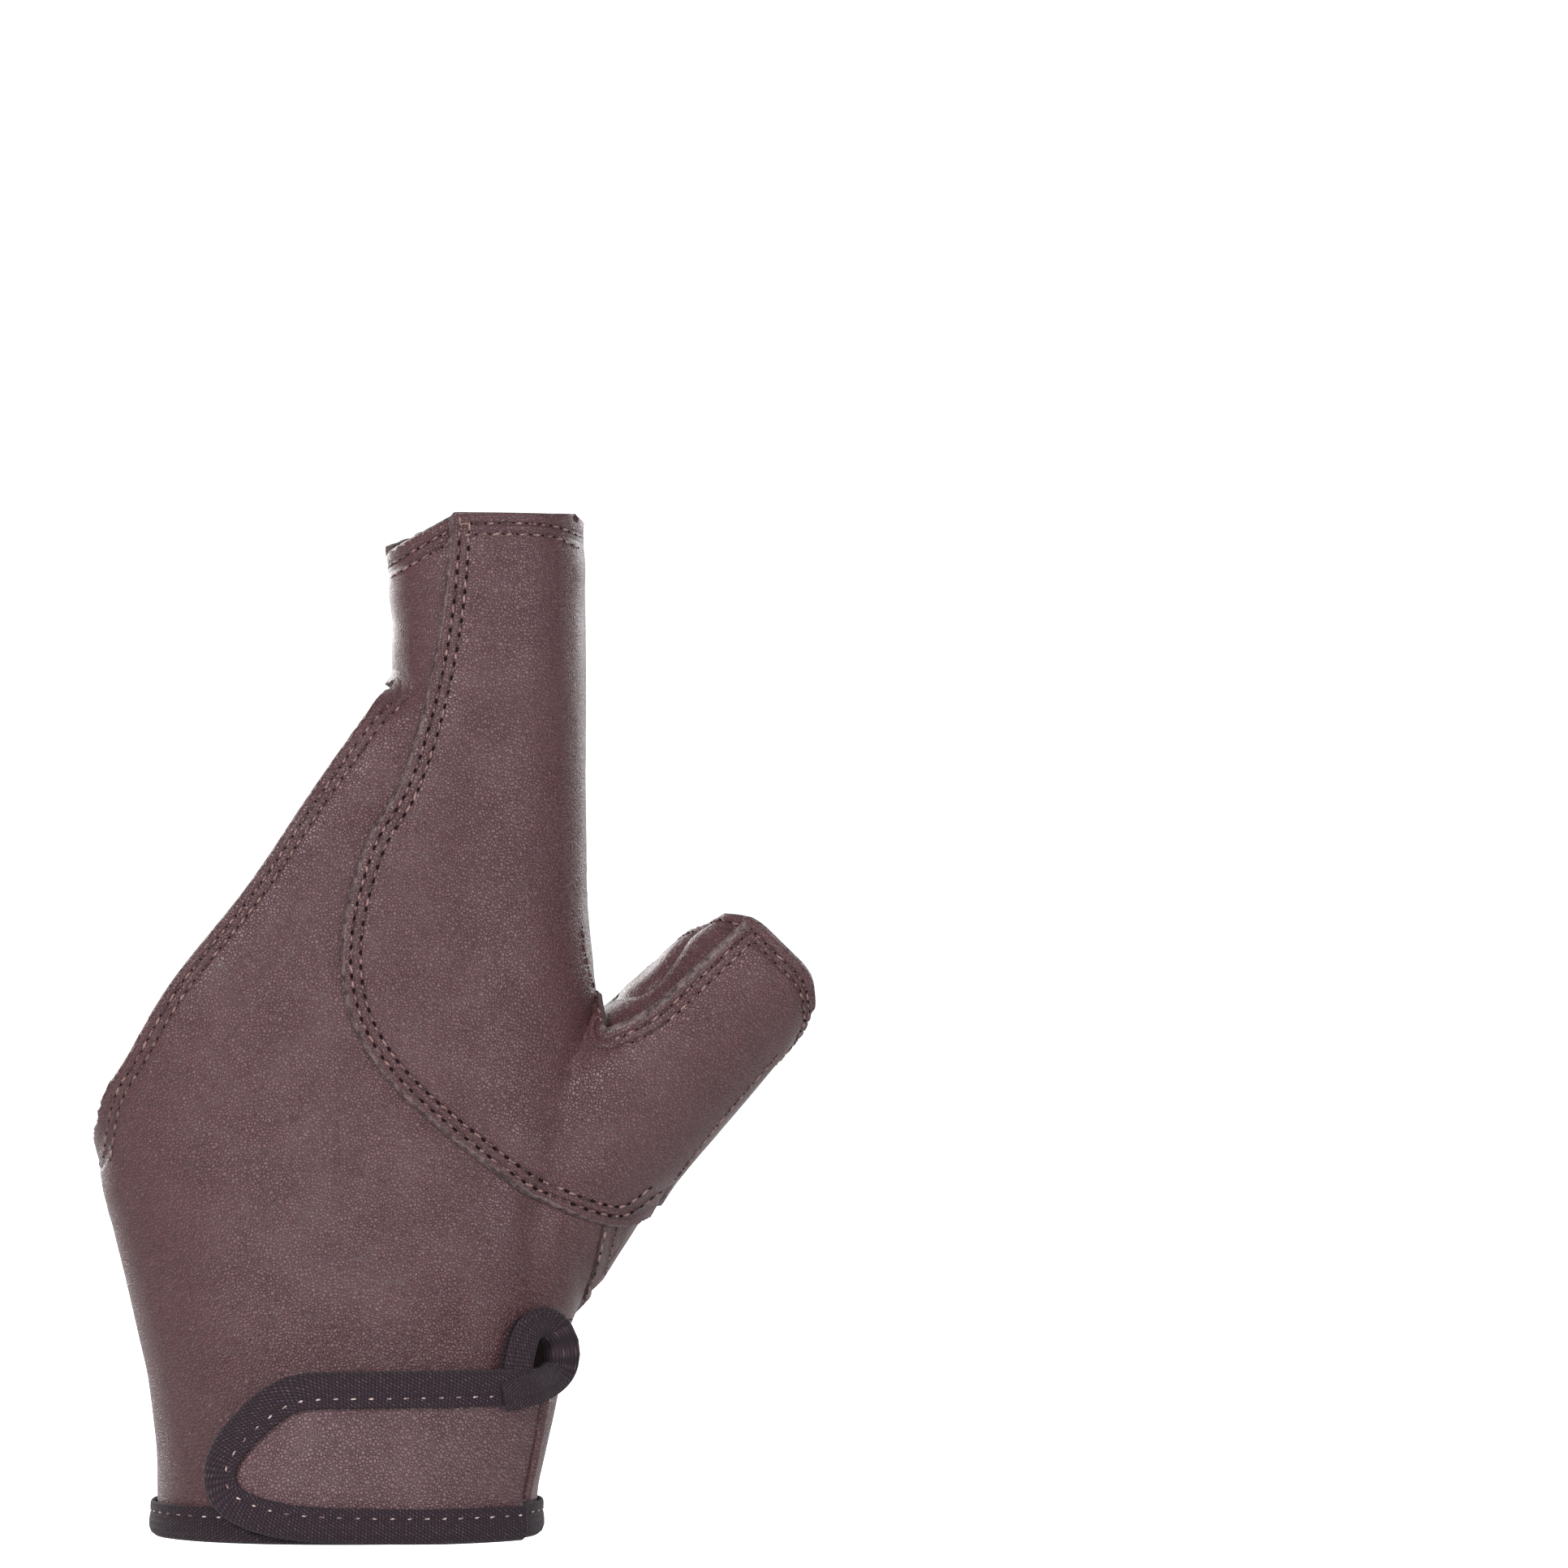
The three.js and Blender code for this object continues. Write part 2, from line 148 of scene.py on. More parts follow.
handSections = [
    # height, little-finger side, thumb side, back, palm, squareness
    (-0.05, -0.255, 0.256, -0.49, 0.49, 2.2),
    (0, -0.255, 0.256, -0.5, 0.5, 2.2),
    (0.038, -0.255, 0.258, -0.5, 0.5, 2.2),
    (0.076, -0.256, 0.269, -0.495, 0.495, 2.2),
    (0.113, -0.261, 0.281, -0.487, 0.48, 2.2),
    (0.152, -0.268, 0.292, -0.48, 0.455, 2.2),
    (0.189, -0.28, 0.299, -0.47, 0.465, 2.3),
    (0.24, -0.297, 0.325, -0.456, 0.467, 2.3),
    (0.303, -0.319, 0.35, -0.436, 0.446, 2.4),
    (0.378, -0.343, 0.345, -0.415, 0.423, 2.5),
    (0.467, -0.366, 0.33, -0.397, 0.397, 2.5),
    (0.555, -0.38, 0.324, -0.385, 0.38, 2.5),
    (0.63, -0.362, 0.315, -0.372, 0.359, 2.5),
    (0.694, -0.298, 0.314, -0.359, 0.333, 2.5),
    (0.75, -0.163, 0.313, -0.341, 0.308, 2.4),
    (0.794, -0.05, 0.312, -0.323, 0.29, 2.3),
    (0.812, 0.01, 0.312, -0.316, 0.284, 2.3),
    (0.827, 0.06, 0.312, -0.313, 0.282, 2.3),
    (0.84, 0.074, 0.312, -0.311, 0.28, 2.3),
    (0.883, 0.077, 0.312, -0.308, 0.277, 2.3),
    (0.946, 0.069, 0.311, -0.308, 0.277, 2.3),
    (1, 0.061, 0.309, -0.308, 0.277, 2.3),
    (1.05, 0.055, 0.308, -0.308, 0.277, 2.3),
]
thumbSections = [
    # lower side x and z, web side x and z, back, palm
    (0.699, 0.559, 0.567, 0.648, -0.18, 0.372),
    (0.646, 0.516, 0.506, 0.61, -0.18, 0.372),
    (0.576, 0.458, 0.426, 0.56, -0.205, 0.397),
    (0.505, 0.4, 0.344, 0.509, -0.231, 0.449),
    (0.436, 0.342, 0.264, 0.458, -0.256, 0.5),
    (0.38, 0.281, 0.175, 0.413, -0.282, 0.538),
    (0.32, 0.222, 0.087, 0.368, -0.256, 0.51),
    (0.212, 0.178, 0.032, 0.3, -0.154, 0.385),
]
thumbSquare = 2.2

# Crease in the back of the worn form, beside the thumb's root
crease = {"ends": [(0.274, 0.335), (0.264, 0.25)], "halfWidth": 0.002765, "deep": 0.0011}


def creaseDepth(x, z, angles):
    away = lineDistance(np.stack([x, z], axis=1), shares(crease["ends"]))
    return np.where(np.sin(angles) < 0, crease["deep"] * np.exp(-(away / crease["halfWidth"]) ** 2), 0)


def ovalPoints(near, far, back, palm, square, angles, offset):
    # Points of squared ovals, pushed outwards along their normals
    middle, half = (near + far) / 2, (near - far) / 2
    size = np.linalg.norm(half, axis=-1)
    heading = half / size[..., None]

    def wave(value):
        return np.sign(value) * np.abs(value) ** (2 / square)

    def flat(a):
        return size * wave(np.cos(a)), (palm - back) / 2 * wave(np.sin(a)) + (palm + back) / 2

    sideways, deep = flat(angles)
    sideBefore, deepBefore = flat(angles - 0.03)
    sideAfter, deepAfter = flat(angles + 0.03)
    normal = np.stack([deepAfter - deepBefore, sideBefore - sideAfter], axis=1)
    normal /= np.linalg.norm(normal, axis=1)[:, None] + 1e-12
    x = middle[..., 0] + heading[..., 0] * sideways
    z = middle[..., 1] + heading[..., 1] * sideways
    push = offset - creaseDepth(x, z, angles)
    return np.stack([x + heading[..., 0] * normal[:, 0] * push, deep + normal[:, 1] * push,
                     z + heading[..., 1] * normal[:, 0] * push], axis=1)


def softTable(rows, at, column):
    # A smooth reading between the rows of a table whose first column rises
    xs = np.array([row[0] for row in rows])
    ys = np.array([row[column] for row in rows])
    steps = np.diff(ys) / np.diff(xs)
    before, after = steps[:-1], steps[1:]
    both = before * after > 0
    inner = np.where(both, 2 * before * after / np.where(both, before + after, 1), 0)  # no swing past a row
    slopes = np.concatenate([steps[:1], inner, steps[-1:]])
    i = np.clip(np.searchsorted(xs, at) - 1, 0, len(xs) - 2)
    gap = xs[i + 1] - xs[i]
    t = (at - xs[i]) / gap
    return ((2 * t ** 3 - 3 * t ** 2 + 1) * ys[i] + (t ** 3 - 2 * t ** 2 + t) * gap * slopes[i]
            + (3 * t ** 2 - 2 * t ** 3) * ys[i + 1] + (t ** 3 - t ** 2) * gap * slopes[i + 1])


def sides(x, z):
    return np.stack([x * glove["width"], z * glove["length"]], axis=-1)


def handPoints(heights, angles, offset):
    heights = np.zeros(len(angles)) + heights
    ulnar, radial, back, palm, square = [softTable(handSections, heights, c) for c in range(1, 6)]
    return ovalPoints(sides(radial, heights), sides(ulnar, heights), back * glove["depth"],
                      palm * glove["depth"], square, angles, offset)


def thumbRing(at, angles, offset):
    rows = [(k,) + row for k, row in enumerate(thumbSections)]
    at = np.zeros(len(angles)) + at
    lowX, lowZ, webX, webZ, back, palm = [softTable(rows, at, c) for c in range(1, 7)]
    return ovalPoints(sides(lowX, lowZ), sides(webX, webZ), back * glove["depth"],
                      palm * glove["depth"], thumbSquare, angles, offset)


# Meshes
def toObject(name, bm, materials=()):
    mesh = bpy.data.meshes.new(name)
    bm.to_mesh(mesh)
    bm.free()
    piece = bpy.data.objects.new(name, mesh)
    bpy.context.scene.collection.objects.link(piece)
    for material in materials:
        mesh.materials.append(material)
    for face in mesh.polygons:
        face.use_smooth = True
    return piece


def ringTube(bm, rings):
    # A grid whose rows are laid on the rings, closed round and at both ends
    around = len(rings[0])
    made = bmesh.ops.create_grid(bm, x_segments=around, y_segments=len(rings) - 1, size=1)["verts"]
    for vert in made:
        column = round((vert.co.x + 1) / 2 * around) % around
        row = round((vert.co.y + 1) / 2 * (len(rings) - 1))
        vert.co = rings[row][column]
    bmesh.ops.remove_doubles(bm, verts=made, dist=1e-7)
    made = [vert for vert in made if vert.is_valid]
    rim = list({edge for vert in made for edge in vert.link_edges if edge.is_boundary})
    bmesh.ops.holes_fill(bm, edges=rim, sides=0)


def smoothed(bm, verts, factor, rounds):
    for _ in range(rounds):
        bmesh.ops.smooth_vert(bm, verts=verts, factor=factor, use_axis_x=True, use_axis_y=True, use_axis_z=True)
    bm.normal_update()


def buildForm(offset):
    # The worn form at an offset: wrist, palm, index finger and thumb in one smooth skin
    angles = np.linspace(0, 2 * np.pi, 120, endpoint=False)
    bm = bmesh.new()
    ringTube(bm, [handPoints(h, angles, offset) for h in np.linspace(-0.05, 1.05, 90)])
    ringTube(bm, [thumbRing(i, angles, offset) for i in np.linspace(0, len(thumbSections) - 1, 36)])
    bmesh.ops.recalc_face_normals(bm, faces=bm.faces[:])
    rough = toObject("rough_form", bm)
    remesh = rough.modifiers.new("skin", "REMESH")
    remesh.mode = "VOXEL"
    remesh.voxel_size = glove["cell"]
    skin = rough.evaluated_get(bpy.context.evaluated_depsgraph_get()).to_mesh()
    bm = bmesh.new()
    bm.from_mesh(skin)
    mesh = rough.data
    bpy.data.objects.remove(rough)
    bpy.data.meshes.remove(mesh)
    smoothed(bm, bm.verts, 0.5, 6)
    return bm


forms = {}


def form(offset):
    if offset not in forms:
        forms[offset] = buildForm(offset)
    return forms[offset].copy()


def positions(bm):
    return np.array([vert.co[:] for vert in bm.verts])


def trim(bm, keep):
    # Cuts the skin along the line where keep() is nought and drops what is outside
    near = glove["cell"] * 0.28
    places = positions(bm)
    value = keep(places)
    close = np.abs(value) < near
    step = 1e-5
    nudged = places[close]
    slope = np.stack([(keep(nudged + nudge) - value[close]) / step for nudge in np.eye(3) * step], axis=1)
    size = np.sum(slope ** 2, axis=1)[:, None] + 1e-9
    places[close] = nudged - slope * (value[close][:, None] / size)
    value[close] = 0
    kept = bm.verts.layers.float.new("kept")
    for vert, place, inside in zip(bm.verts, places, value):
        vert.co = place
        vert[kept] = inside
    crossing = {}
    for edge in bm.edges:
        a, b = edge.verts[0][kept], edge.verts[1][kept]
        if a * b < 0:
            crossing[edge] = a / (a - b)
    bmesh.ops.bisect_edges(bm, edges=list(crossing), cuts=1, edge_percents=crossing)
    onLine = [vert for vert in bm.verts if abs(vert[kept]) < 1e-7]
    bmesh.ops.connect_verts(bm, verts=onLine, check_degenerate=True)
    gone = [face for face in bm.faces if sum(vert[kept] for vert in face.verts) < 1e-7]
    bmesh.ops.delete(bm, geom=gone, context="FACES")
    loose = [vert for vert in bm.verts if not vert.link_faces]
    bmesh.ops.delete(bm, geom=loose, context="VERTS")
    bm.normal_update()


def keepBiggest(bm):
    # Scraps that touch nothing are dropped
    unseen = set(bm.verts)
    groups = []
    while unseen:
        stack = [unseen.pop()]
        group = list(stack)
        while stack:
            for edge in stack.pop().link_edges:
                for vert in edge.verts:
                    if vert in unseen:
                        unseen.discard(vert)
                        stack.append(vert)
                        group.append(vert)
        groups.append(group)
    groups.sort(key=len)
    for group in groups[:-1]:
        bmesh.ops.delete(bm, geom=group, context="VERTS")


# A seam is a raw edge with two rows of stitches beside it
seam = {"first": 0.0016, "between": 0.0015, "press": 0.00022, "puff": 0.00022, "lip": 0.00012, "reach": 0.02,
        "rimRows": (0.0018, 0.0032), "rimEdge": 0.0004, "thinEdge": 0.4, "corner": 0.00016}


# Leather never lies quite flat
slack = {"swell": 0.00004, "swellSize": 0.011, "ripple": 0.000025, "rippleSize": 0.0035}


def seamRelief(away):
    middle = seam["first"] + seam["between"] / 2
    pressed = -seam["press"] * np.exp(-((away - middle) / 0.0013) ** 2)
    puffed = seam["puff"] * np.exp(-((away - 0.0065) / 0.0028) ** 2)
    lip = seam["lip"] * np.exp(-(away / 0.0007) ** 2)
    return pressed + puffed + lip


def addWall(piece):
    # Leather's thickness on the grain side, with the cut edge and the flesh side in their own materials
    wall = piece.modifiers.new("wall", "SOLIDIFY")
    wall.thickness = glove["leather"]
    wall.offset = 1
    wall.material_offset = 2
    wall.material_offset_rim = 1
    return wall


def roundEdges(piece, width, angle):
    edge = piece.modifiers.new("edge", "BEVEL")
    edge.width = width
    edge.segments = 2
    edge.limit_method = "ANGLE"
    edge.angle_limit = math.radians(angle)


def softNoise(places, scale, seed):
    return np.array([noise.noise(Vector(p) / scale + Vector((seed, seed, seed))) for p in places])


def fineWrinkles(centre, reach, angle, depth, sideOfHand):
    # A patch of fine wrinkles that run at an angle
    turn = math.radians(angle)

    def wrinkle(places, side):
        flat = places[:, [0, 2]] - share(*centre)
        along = flat @ np.array([math.cos(turn), math.sin(turn)])
        across = flat @ np.array([-math.sin(turn), math.cos(turn)])
        near = np.exp(-(along / reach) ** 2 - (across / (reach * 0.6)) ** 2) * (side == sideOfHand)
        push = np.zeros(len(places))
        for i in np.nonzero(near > 0.03)[0]:
            push[i] = noise.noise(Vector((along[i] / 0.006, across[i] / 0.0013, centre[0] * 9)))
        return -depth * near * np.abs(push)
    return wrinkle


def levelPath(bm, values, level, lift):
    # The line where the skin crosses a level of the values, from one end to the other
    spots, links = {}, {}
    for face in bm.faces:
        ends = []
        for edge in face.edges:
            first, last = edge.verts
            a, b = values[first.index] - level, values[last.index] - level
            if a * b < 0:
                normal = first.normal.lerp(last.normal, a / (a - b))
                spots[edge] = (first.co.lerp(last.co, a / (a - b)) + normal * lift, normal)
                ends.append(edge)
        if len(ends) == 2:
            links.setdefault(ends[0], []).append(ends[1])
            links.setdefault(ends[1], []).append(ends[0])
    best = []
    for start in [edge for edge in links if len(links[edge]) == 1]:
        path, seen = [start], {start}
        while True:
            onward = [edge for edge in links[path[-1]] if edge not in seen]
            if not onward:
                break
            path.append(onward[0])
            seen.add(onward[0])
        if len(path) > len(best):
            best = path
    return [(place.copy(), normal.copy()) for place, normal in (spots[edge] for edge in best)]


rimRows = {}  # paths of the stitches round the thumb's opening, by piece


def leatherPanel(name, layer, blocks, seams, rawEdges, materials, wrinkles=(), rim=None):
    # seams: line in X and Z, side of the hand, how far the first row is from the edge, corner to stop at
    # rawEdges: line, side, width of the sloping cut edge
    bm = form(layer)
    trim(bm, lambda places: np.minimum(insideBlocks(places, blocks), rim(places) if rim else 1.0))
    keepBiggest(bm)
    smoothed(bm, [vert for vert in bm.verts if not vert.is_boundary], 0.4, 2)
    places = positions(bm)
    side = np.where(places[:, 1] < 0, -1, 1)
    away = np.full(len(places), seam["reach"])
    flat = places[:, [0, 2]]
    for line, seamSide, first, *corner in seams:
        distance = lineDistance(flat, line) - first + seam["first"]
        reached = side == seamSide
        if corner:  # the rows stop at a corner of the line
            reached &= (places[:, 0] < corner[0][0]) & (places[:, 2] < corner[0][1])
        away = np.where(reached, np.minimum(away, distance), away)
    rimAway = rim(places) if rim else np.full(len(places), 1.0)
    away = np.minimum(away, rimAway - seam["rimRows"][0] + seam["first"])
    push = seamRelief(away)
    push += slack["swell"] * softNoise(places, slack["swellSize"], 3.0)
    push += slack["ripple"] * softNoise(places, slack["rippleSize"], 7.0)
    for wrinkle in wrinkles:
        push += wrinkle(places, side)
    raw = np.full(len(places), 3.0)
    steep = np.clip([abs(vert.normal.y) for vert in bm.verts], 0.25, 1)
    for line, rawSide, width in rawEdges:
        distance = lineDistance(flat, line) / width / steep
        raw = np.where(side == rawSide, np.minimum(raw, distance), raw)
    raw = np.minimum(raw, np.abs(rimAway) / seam["rimEdge"])
    rowAway, rawAway = bm.verts.layers.float.new("rowAway"), bm.verts.layers.float.new("rawAway")
    for vert, distance, edgeShare, move in zip(bm.verts, away, raw, push):
        vert[rowAway] = distance
        vert[rawAway] = edgeShare
        vert.co += vert.normal * move
    if rim:
        bm.normal_update()
        bm.verts.index_update()
        rimRows[name] = [levelPath(bm, rimAway, level, glove["leather"]) for level in seam["rimRows"]]
    piece = toObject(name, bm, materials)
    full = piece.vertex_groups.new(name="full")
    full.add(np.nonzero(raw >= 1)[0].tolist(), 1.0, "REPLACE")
    for i in np.nonzero(raw < 1)[0].tolist():
        full.add([i], seam["thinEdge"] + (1 - seam["thinEdge"]) * float(raw[i]), "REPLACE")
    addWall(piece).vertex_group = "full"
    roundEdges(piece, seam["corner"], 55)
    return piece


# Shader helpers
def srgb(r, g, b):
    def line(c):
        c = c / 255
        return c / 12.92 if c <= 0.04045 else ((c + 0.055) / 1.055) ** 2.4
    return (line(r), line(g), line(b), 1.0)


def put(tree, kind, inputs=None, **settings):
    node = tree.nodes.new(kind)
    for key, value in settings.items():
        setattr(node, key, value)
    for key, value in (inputs or {}).items():
        if isinstance(value, bpy.types.NodeSocket):
            tree.links.new(value, node.inputs[key])
        else:
            node.inputs[key].default_value = value
    return node


def math2(tree, operation, a, b=0.0):
    return put(tree, "ShaderNodeMath", {0: a, 1: b}, operation=operation).outputs[0]


def times(tree, a, b):
    return math2(tree, "MULTIPLY", a, b)


def blend(tree, factor, a, b):
    return put(tree, "ShaderNodeMix", {0: factor, 6: a, 7: b}, data_type="RGBA").outputs[2]


def noiseTone(tree, at, scale, detail=2.0):
    return put(tree, "ShaderNodeTexNoise", {"Vector": at, "Scale": scale, "Detail": detail}).outputs[0]


def ramp(tree, value, start, end, low=0.0, high=1.0, interpolation="LINEAR"):
    return put(tree, "ShaderNodeMapRange", {0: value, 1: start, 2: end, 3: low, 4: high},
               interpolation_type=interpolation).outputs[0]


def objectPlaces(tree):
    return put(tree, "ShaderNodeTexCoord").outputs["Object"]


def bumped(tree, shader, height, distance, strength=1.0):
    bump = put(tree, "ShaderNodeBump", {"Height": height, "Strength": strength, "Distance": distance})
    tree.links.new(bump.outputs[0], shader.inputs["Normal"])


def newGroup(name, inputs, outputs):
    tree = bpy.data.node_groups.new(name, "ShaderNodeTree")
    for socketName, kind, value in inputs:
        socket = tree.interface.new_socket(socketName, in_out="INPUT", socket_type=kind)
        if value is not None:
            socket.default_value = value
    for socketName, kind in outputs:
        tree.interface.new_socket(socketName, in_out="OUTPUT", socket_type=kind)
    return tree, tree.nodes.new("NodeGroupInput").outputs, tree.nodes.new("NodeGroupOutput").inputs


def useGroup(tree, group, **values):
    return put(tree, "ShaderNodeGroup", values, node_tree=group).outputs


def pebbleGroup():
    # Leather grain: small pebbles with creases between them, flatter where the hide is stretched
    tree, inp, out = newGroup("pebbleGrain", [
        ("Vector", "NodeSocketVector", None), ("Cells", "NodeSocketFloat", 1500.0),
        ("Uneven", "NodeSocketFloat", 0.5)], [("Height", "NodeSocketFloat"), ("CreaseShade", "NodeSocketFloat"),
                                              ("Patches", "NodeSocketFloat")])
    wobble = put(tree, "ShaderNodeTexNoise", {"Vector": inp["Vector"], "Scale": 900.0, "Detail": 2.0})
    moved = put(tree, "ShaderNodeVectorMath", {0: wobble.outputs["Color"], 1: (0.5, 0.5, 0.5)}, operation="SUBTRACT")
    scaled = put(tree, "ShaderNodeVectorMath", {0: moved.outputs[0], "Scale": 0.0007}, operation="SCALE")
    at = put(tree, "ShaderNodeVectorMath", {0: inp["Vector"], 1: scaled.outputs[0]}, operation="ADD").outputs[0]
    cells = put(tree, "ShaderNodeTexVoronoi", {"Vector": at, "Scale": inp["Cells"]}, feature="DISTANCE_TO_EDGE")
    dome = ramp(tree, cells.outputs["Distance"], 0.0, 0.22, interpolation="SMOOTHSTEP")
    patches = noiseTone(tree, inp["Vector"], 130.0, 3.0)
    grain = times(tree, dome, ramp(tree, patches, 0.35, 0.65, 0.6))
    pores = times(tree, noiseTone(tree, inp["Vector"], 4200.0), inp["Uneven"])
    tree.links.new(math2(tree, "ADD", grain, pores), out["Height"])
    # The creases' share, used for painted shade in the grain
    tree.links.new(math2(tree, "SUBTRACT", 1.0, dome), out["CreaseShade"])
    tree.links.new(patches, out["Patches"])
    return tree


def rowGroup():
    # Two grooves where the thread pulls the leather in, read from the distance to the raw edge
    tree, inp, out = newGroup("stitchRows", [
        ("Away", "NodeSocketFloat", 0.02), ("Raw", "NodeSocketFloat", 3.0),
        ("First", "NodeSocketFloat", seam["first"]), ("Between", "NodeSocketFloat", seam["between"])],
        [("Groove", "NodeSocketFloat"), ("Rim", "NodeSocketFloat")])

    def groove(centre):
        off = math2(tree, "ABSOLUTE", math2(tree, "SUBTRACT", inp["Away"], centre))
        return ramp(tree, off, 0.0, 0.0006, 1.0, 0.0, "SMOOTHSTEP")
    second = math2(tree, "ADD", inp["First"], inp["Between"])
    tree.links.new(math2(tree, "MAXIMUM", groove(inp["First"]), groove(second)), out["Groove"])
    tree.links.new(ramp(tree, inp["Raw"], 0.55, 1.05, 1.0, 0.0, "SMOOTHSTEP"), out["Rim"])
    return tree


def knitGroup():
    # Knit tape: little loops in offset columns, read from the piece's own map in metres
    tree, inp, out = newGroup("knitLoops", [
        ("Vector", "NodeSocketVector", None), ("Loop", "NodeSocketFloat", 0.00062)],
        [("Height", "NodeSocketFloat"), ("Glints", "NodeSocketFloat")])
    parts = put(tree, "ShaderNodeSeparateXYZ", {0: inp["Vector"]}).outputs
    turn = math2(tree, "DIVIDE", 2 * math.pi, inp["Loop"])
    u = times(tree, parts[0], turn)
    v = times(tree, parts[1], turn)
    legs = math2(tree, "SINE", math2(tree, "ADD", u, times(tree, math2(tree, "SINE", v), 0.8)))
    rows = math2(tree, "SINE", math2(tree, "ADD", v, times(tree, u, 0.5)))
    loops = math2(tree, "ADD", times(tree, legs, 0.5), times(tree, rows, 0.5))
    tree.links.new(loops, out["Height"])
    bright = ramp(tree, noiseTone(tree, inp["Vector"], 1300.0, 1.0), 0.45, 0.7)
    tree.links.new(times(tree, ramp(tree, loops, 0.3, 0.95), bright), out["Glints"])
    return tree


pebble, rows, knit = pebbleGroup(), rowGroup(), knitGroup()


def newMaterial(name, roughness, specular=0.5):
    material = bpy.data.materials.new(name)
    material.use_nodes = True
    tree = material.node_tree
    shader = tree.nodes["Principled BSDF"]
    shader.inputs["Roughness"].default_value = roughness
    shader.inputs["Specular IOR Level"].default_value = specular
    return material, tree, shader


leatherLook = {
    "body": srgb(93, 63, 67),
    "warm": srgb(90, 51, 54),
    # colour of the painted shade in the grain's creases and the stitch grooves
    "creaseShade": srgb(48, 30, 33),
    "cutTone": srgb(62, 46, 48),
    "wornEdge": srgb(112, 95, 95),
    "roughness": 0.37,
    "pebbleMm": 0.11,
    "grooveMm": 0.16,
    "cells": 2000.0,
    "sheen": 0.06,
    "sheenTint": srgb(150, 84, 84),
}


def leatherMaterial(name, look, withRows=True):
    material, tree, shader = newMaterial(name, look["roughness"])
    at = objectPlaces(tree)
    grain = useGroup(tree, pebble, Vector=at, Cells=look["cells"], Uneven=0.35)
    cloudy = ramp(tree, noiseTone(tree, at, 28.0, 3.0), 0.35, 0.7, 0.25, 0.55)
    colour = blend(tree, cloudy, look["body"], look["warm"])
    # Painted shade: the creases between the pebbles are darkened
    colour = blend(tree, times(tree, grain["CreaseShade"], 0.7), colour, look["creaseShade"])
    height = times(tree, grain["Height"], look["pebbleMm"])
    if withRows:
        away = put(tree, "ShaderNodeAttribute", attribute_name="rowAway").outputs["Fac"]
        raw = put(tree, "ShaderNodeAttribute", attribute_name="rawAway").outputs["Fac"]
        pulled = useGroup(tree, rows, Away=away, Raw=raw)
        height = math2(tree, "SUBTRACT", height, times(tree, pulled["Groove"], look["grooveMm"]))
        # Painted shade: the stitch grooves are darkened as well as pressed in by the bump
        colour = blend(tree, times(tree, pulled["Groove"], 0.3), colour, look["creaseShade"])
        scuffs = noiseTone(tree, at, 900.0, 4.0)
        fibres = blend(tree, ramp(tree, scuffs, 0.38, 0.62), look["cutTone"], look["wornEdge"])
        colour = blend(tree, pulled["Rim"], colour, fibres)
        nap = times(tree, times(tree, scuffs, pulled["Rim"]), 0.25)
        height = math2(tree, "ADD", height, nap)
    tree.links.new(colour, shader.inputs["Base Color"])
    shine = ramp(tree, grain["Patches"], 0.3, 0.7, look["roughness"] - 0.02, look["roughness"] + 0.03)
    tree.links.new(shine, shader.inputs["Roughness"])
    bumped(tree, shader, height, 0.001)
    shader.inputs["Sheen Weight"].default_value = look["sheen"]
    shader.inputs["Sheen Tint"].default_value = look["sheenTint"]
    return material


def fibreMaterial(name, colour, pale):
    # Cut edges and the flesh side of the hide: loose fibre with a nap
    material, tree, shader = newMaterial(name, 0.85, 0.25)
    at = objectPlaces(tree)
    nap = noiseTone(tree, at, 2600.0, 4.0)
    both = math2(tree, "ADD", times(tree, nap, 0.6),
                 times(tree, noiseTone(tree, at, 240.0), 0.4))
    tree.links.new(blend(tree, ramp(tree, both, 0.35, 0.65), colour, pale), shader.inputs["Base Color"])
    bumped(tree, shader, nap, 0.00012)
    return material


def threadMaterial(name, dark, pale, size=900.0):
    material, tree, shader = newMaterial(name, 0.42, 0.6)
    at = objectPlaces(tree)
    # Pale flecks along the thread: partly the twisted thread's own lighter plies, partly painted glints
    pliesAndGlints = ramp(tree, noiseTone(tree, at, size, 1.0), 0.4, 0.6)
    tree.links.new(blend(tree, pliesAndGlints, dark, pale), shader.inputs["Base Color"])
    plies = put(tree, "ShaderNodeTexWave", {"Vector": at, "Scale": 1500.0, "Distortion": 2.0}).outputs["Fac"]
    bumped(tree, shader, plies, 0.0001, 0.7)
    return material


tapeLook = {"dark": srgb(24, 15, 21), "loop": srgb(54, 38, 48), "glint": srgb(112, 96, 108), "loopSize": 0.0005,
            "ribPitch": 0.00095, "sheen": 0.05}


def tapeMaterial(name, look, ribs):
    material, tree, shader = newMaterial(name, 0.8, 0.3)
    at = put(tree, "ShaderNodeUVMap", uv_map="tapeMap").outputs[0]
    loops = useGroup(tree, knit, Vector=at, Loop=look["loopSize"])
    # Painted shade: the low parts of the knit are darker than the loops; the glints are painted highlights
    colour = blend(tree, ramp(tree, loops["Height"], -0.7, 0.8), look["dark"], look["loop"])
    colour = blend(tree, times(tree, loops["Glints"], 0.7), colour, look["glint"])
    tree.links.new(colour, shader.inputs["Base Color"])
    v = put(tree, "ShaderNodeSeparateXYZ", {0: at}).outputs[1]
    turn = times(tree, v, 2 * math.pi / look["ribPitch"])
    rib = times(tree, math2(tree, "SINE", turn), ribs)
    bumped(tree, shader, math2(tree, "ADD", loops["Height"], rib), 0.00007)
    shader.inputs["Sheen Weight"].default_value = look["sheen"]
    return material


def mottled(name, scale, dark, pale):
    # A dull matt colour that varies a little
    material, tree, shader = newMaterial(name, 0.9, 0.1)
    tone = noiseTone(tree, objectPlaces(tree), scale)
    tree.links.new(blend(tree, tone, dark, pale), shader.inputs["Base Color"])
    return material, tree, shader


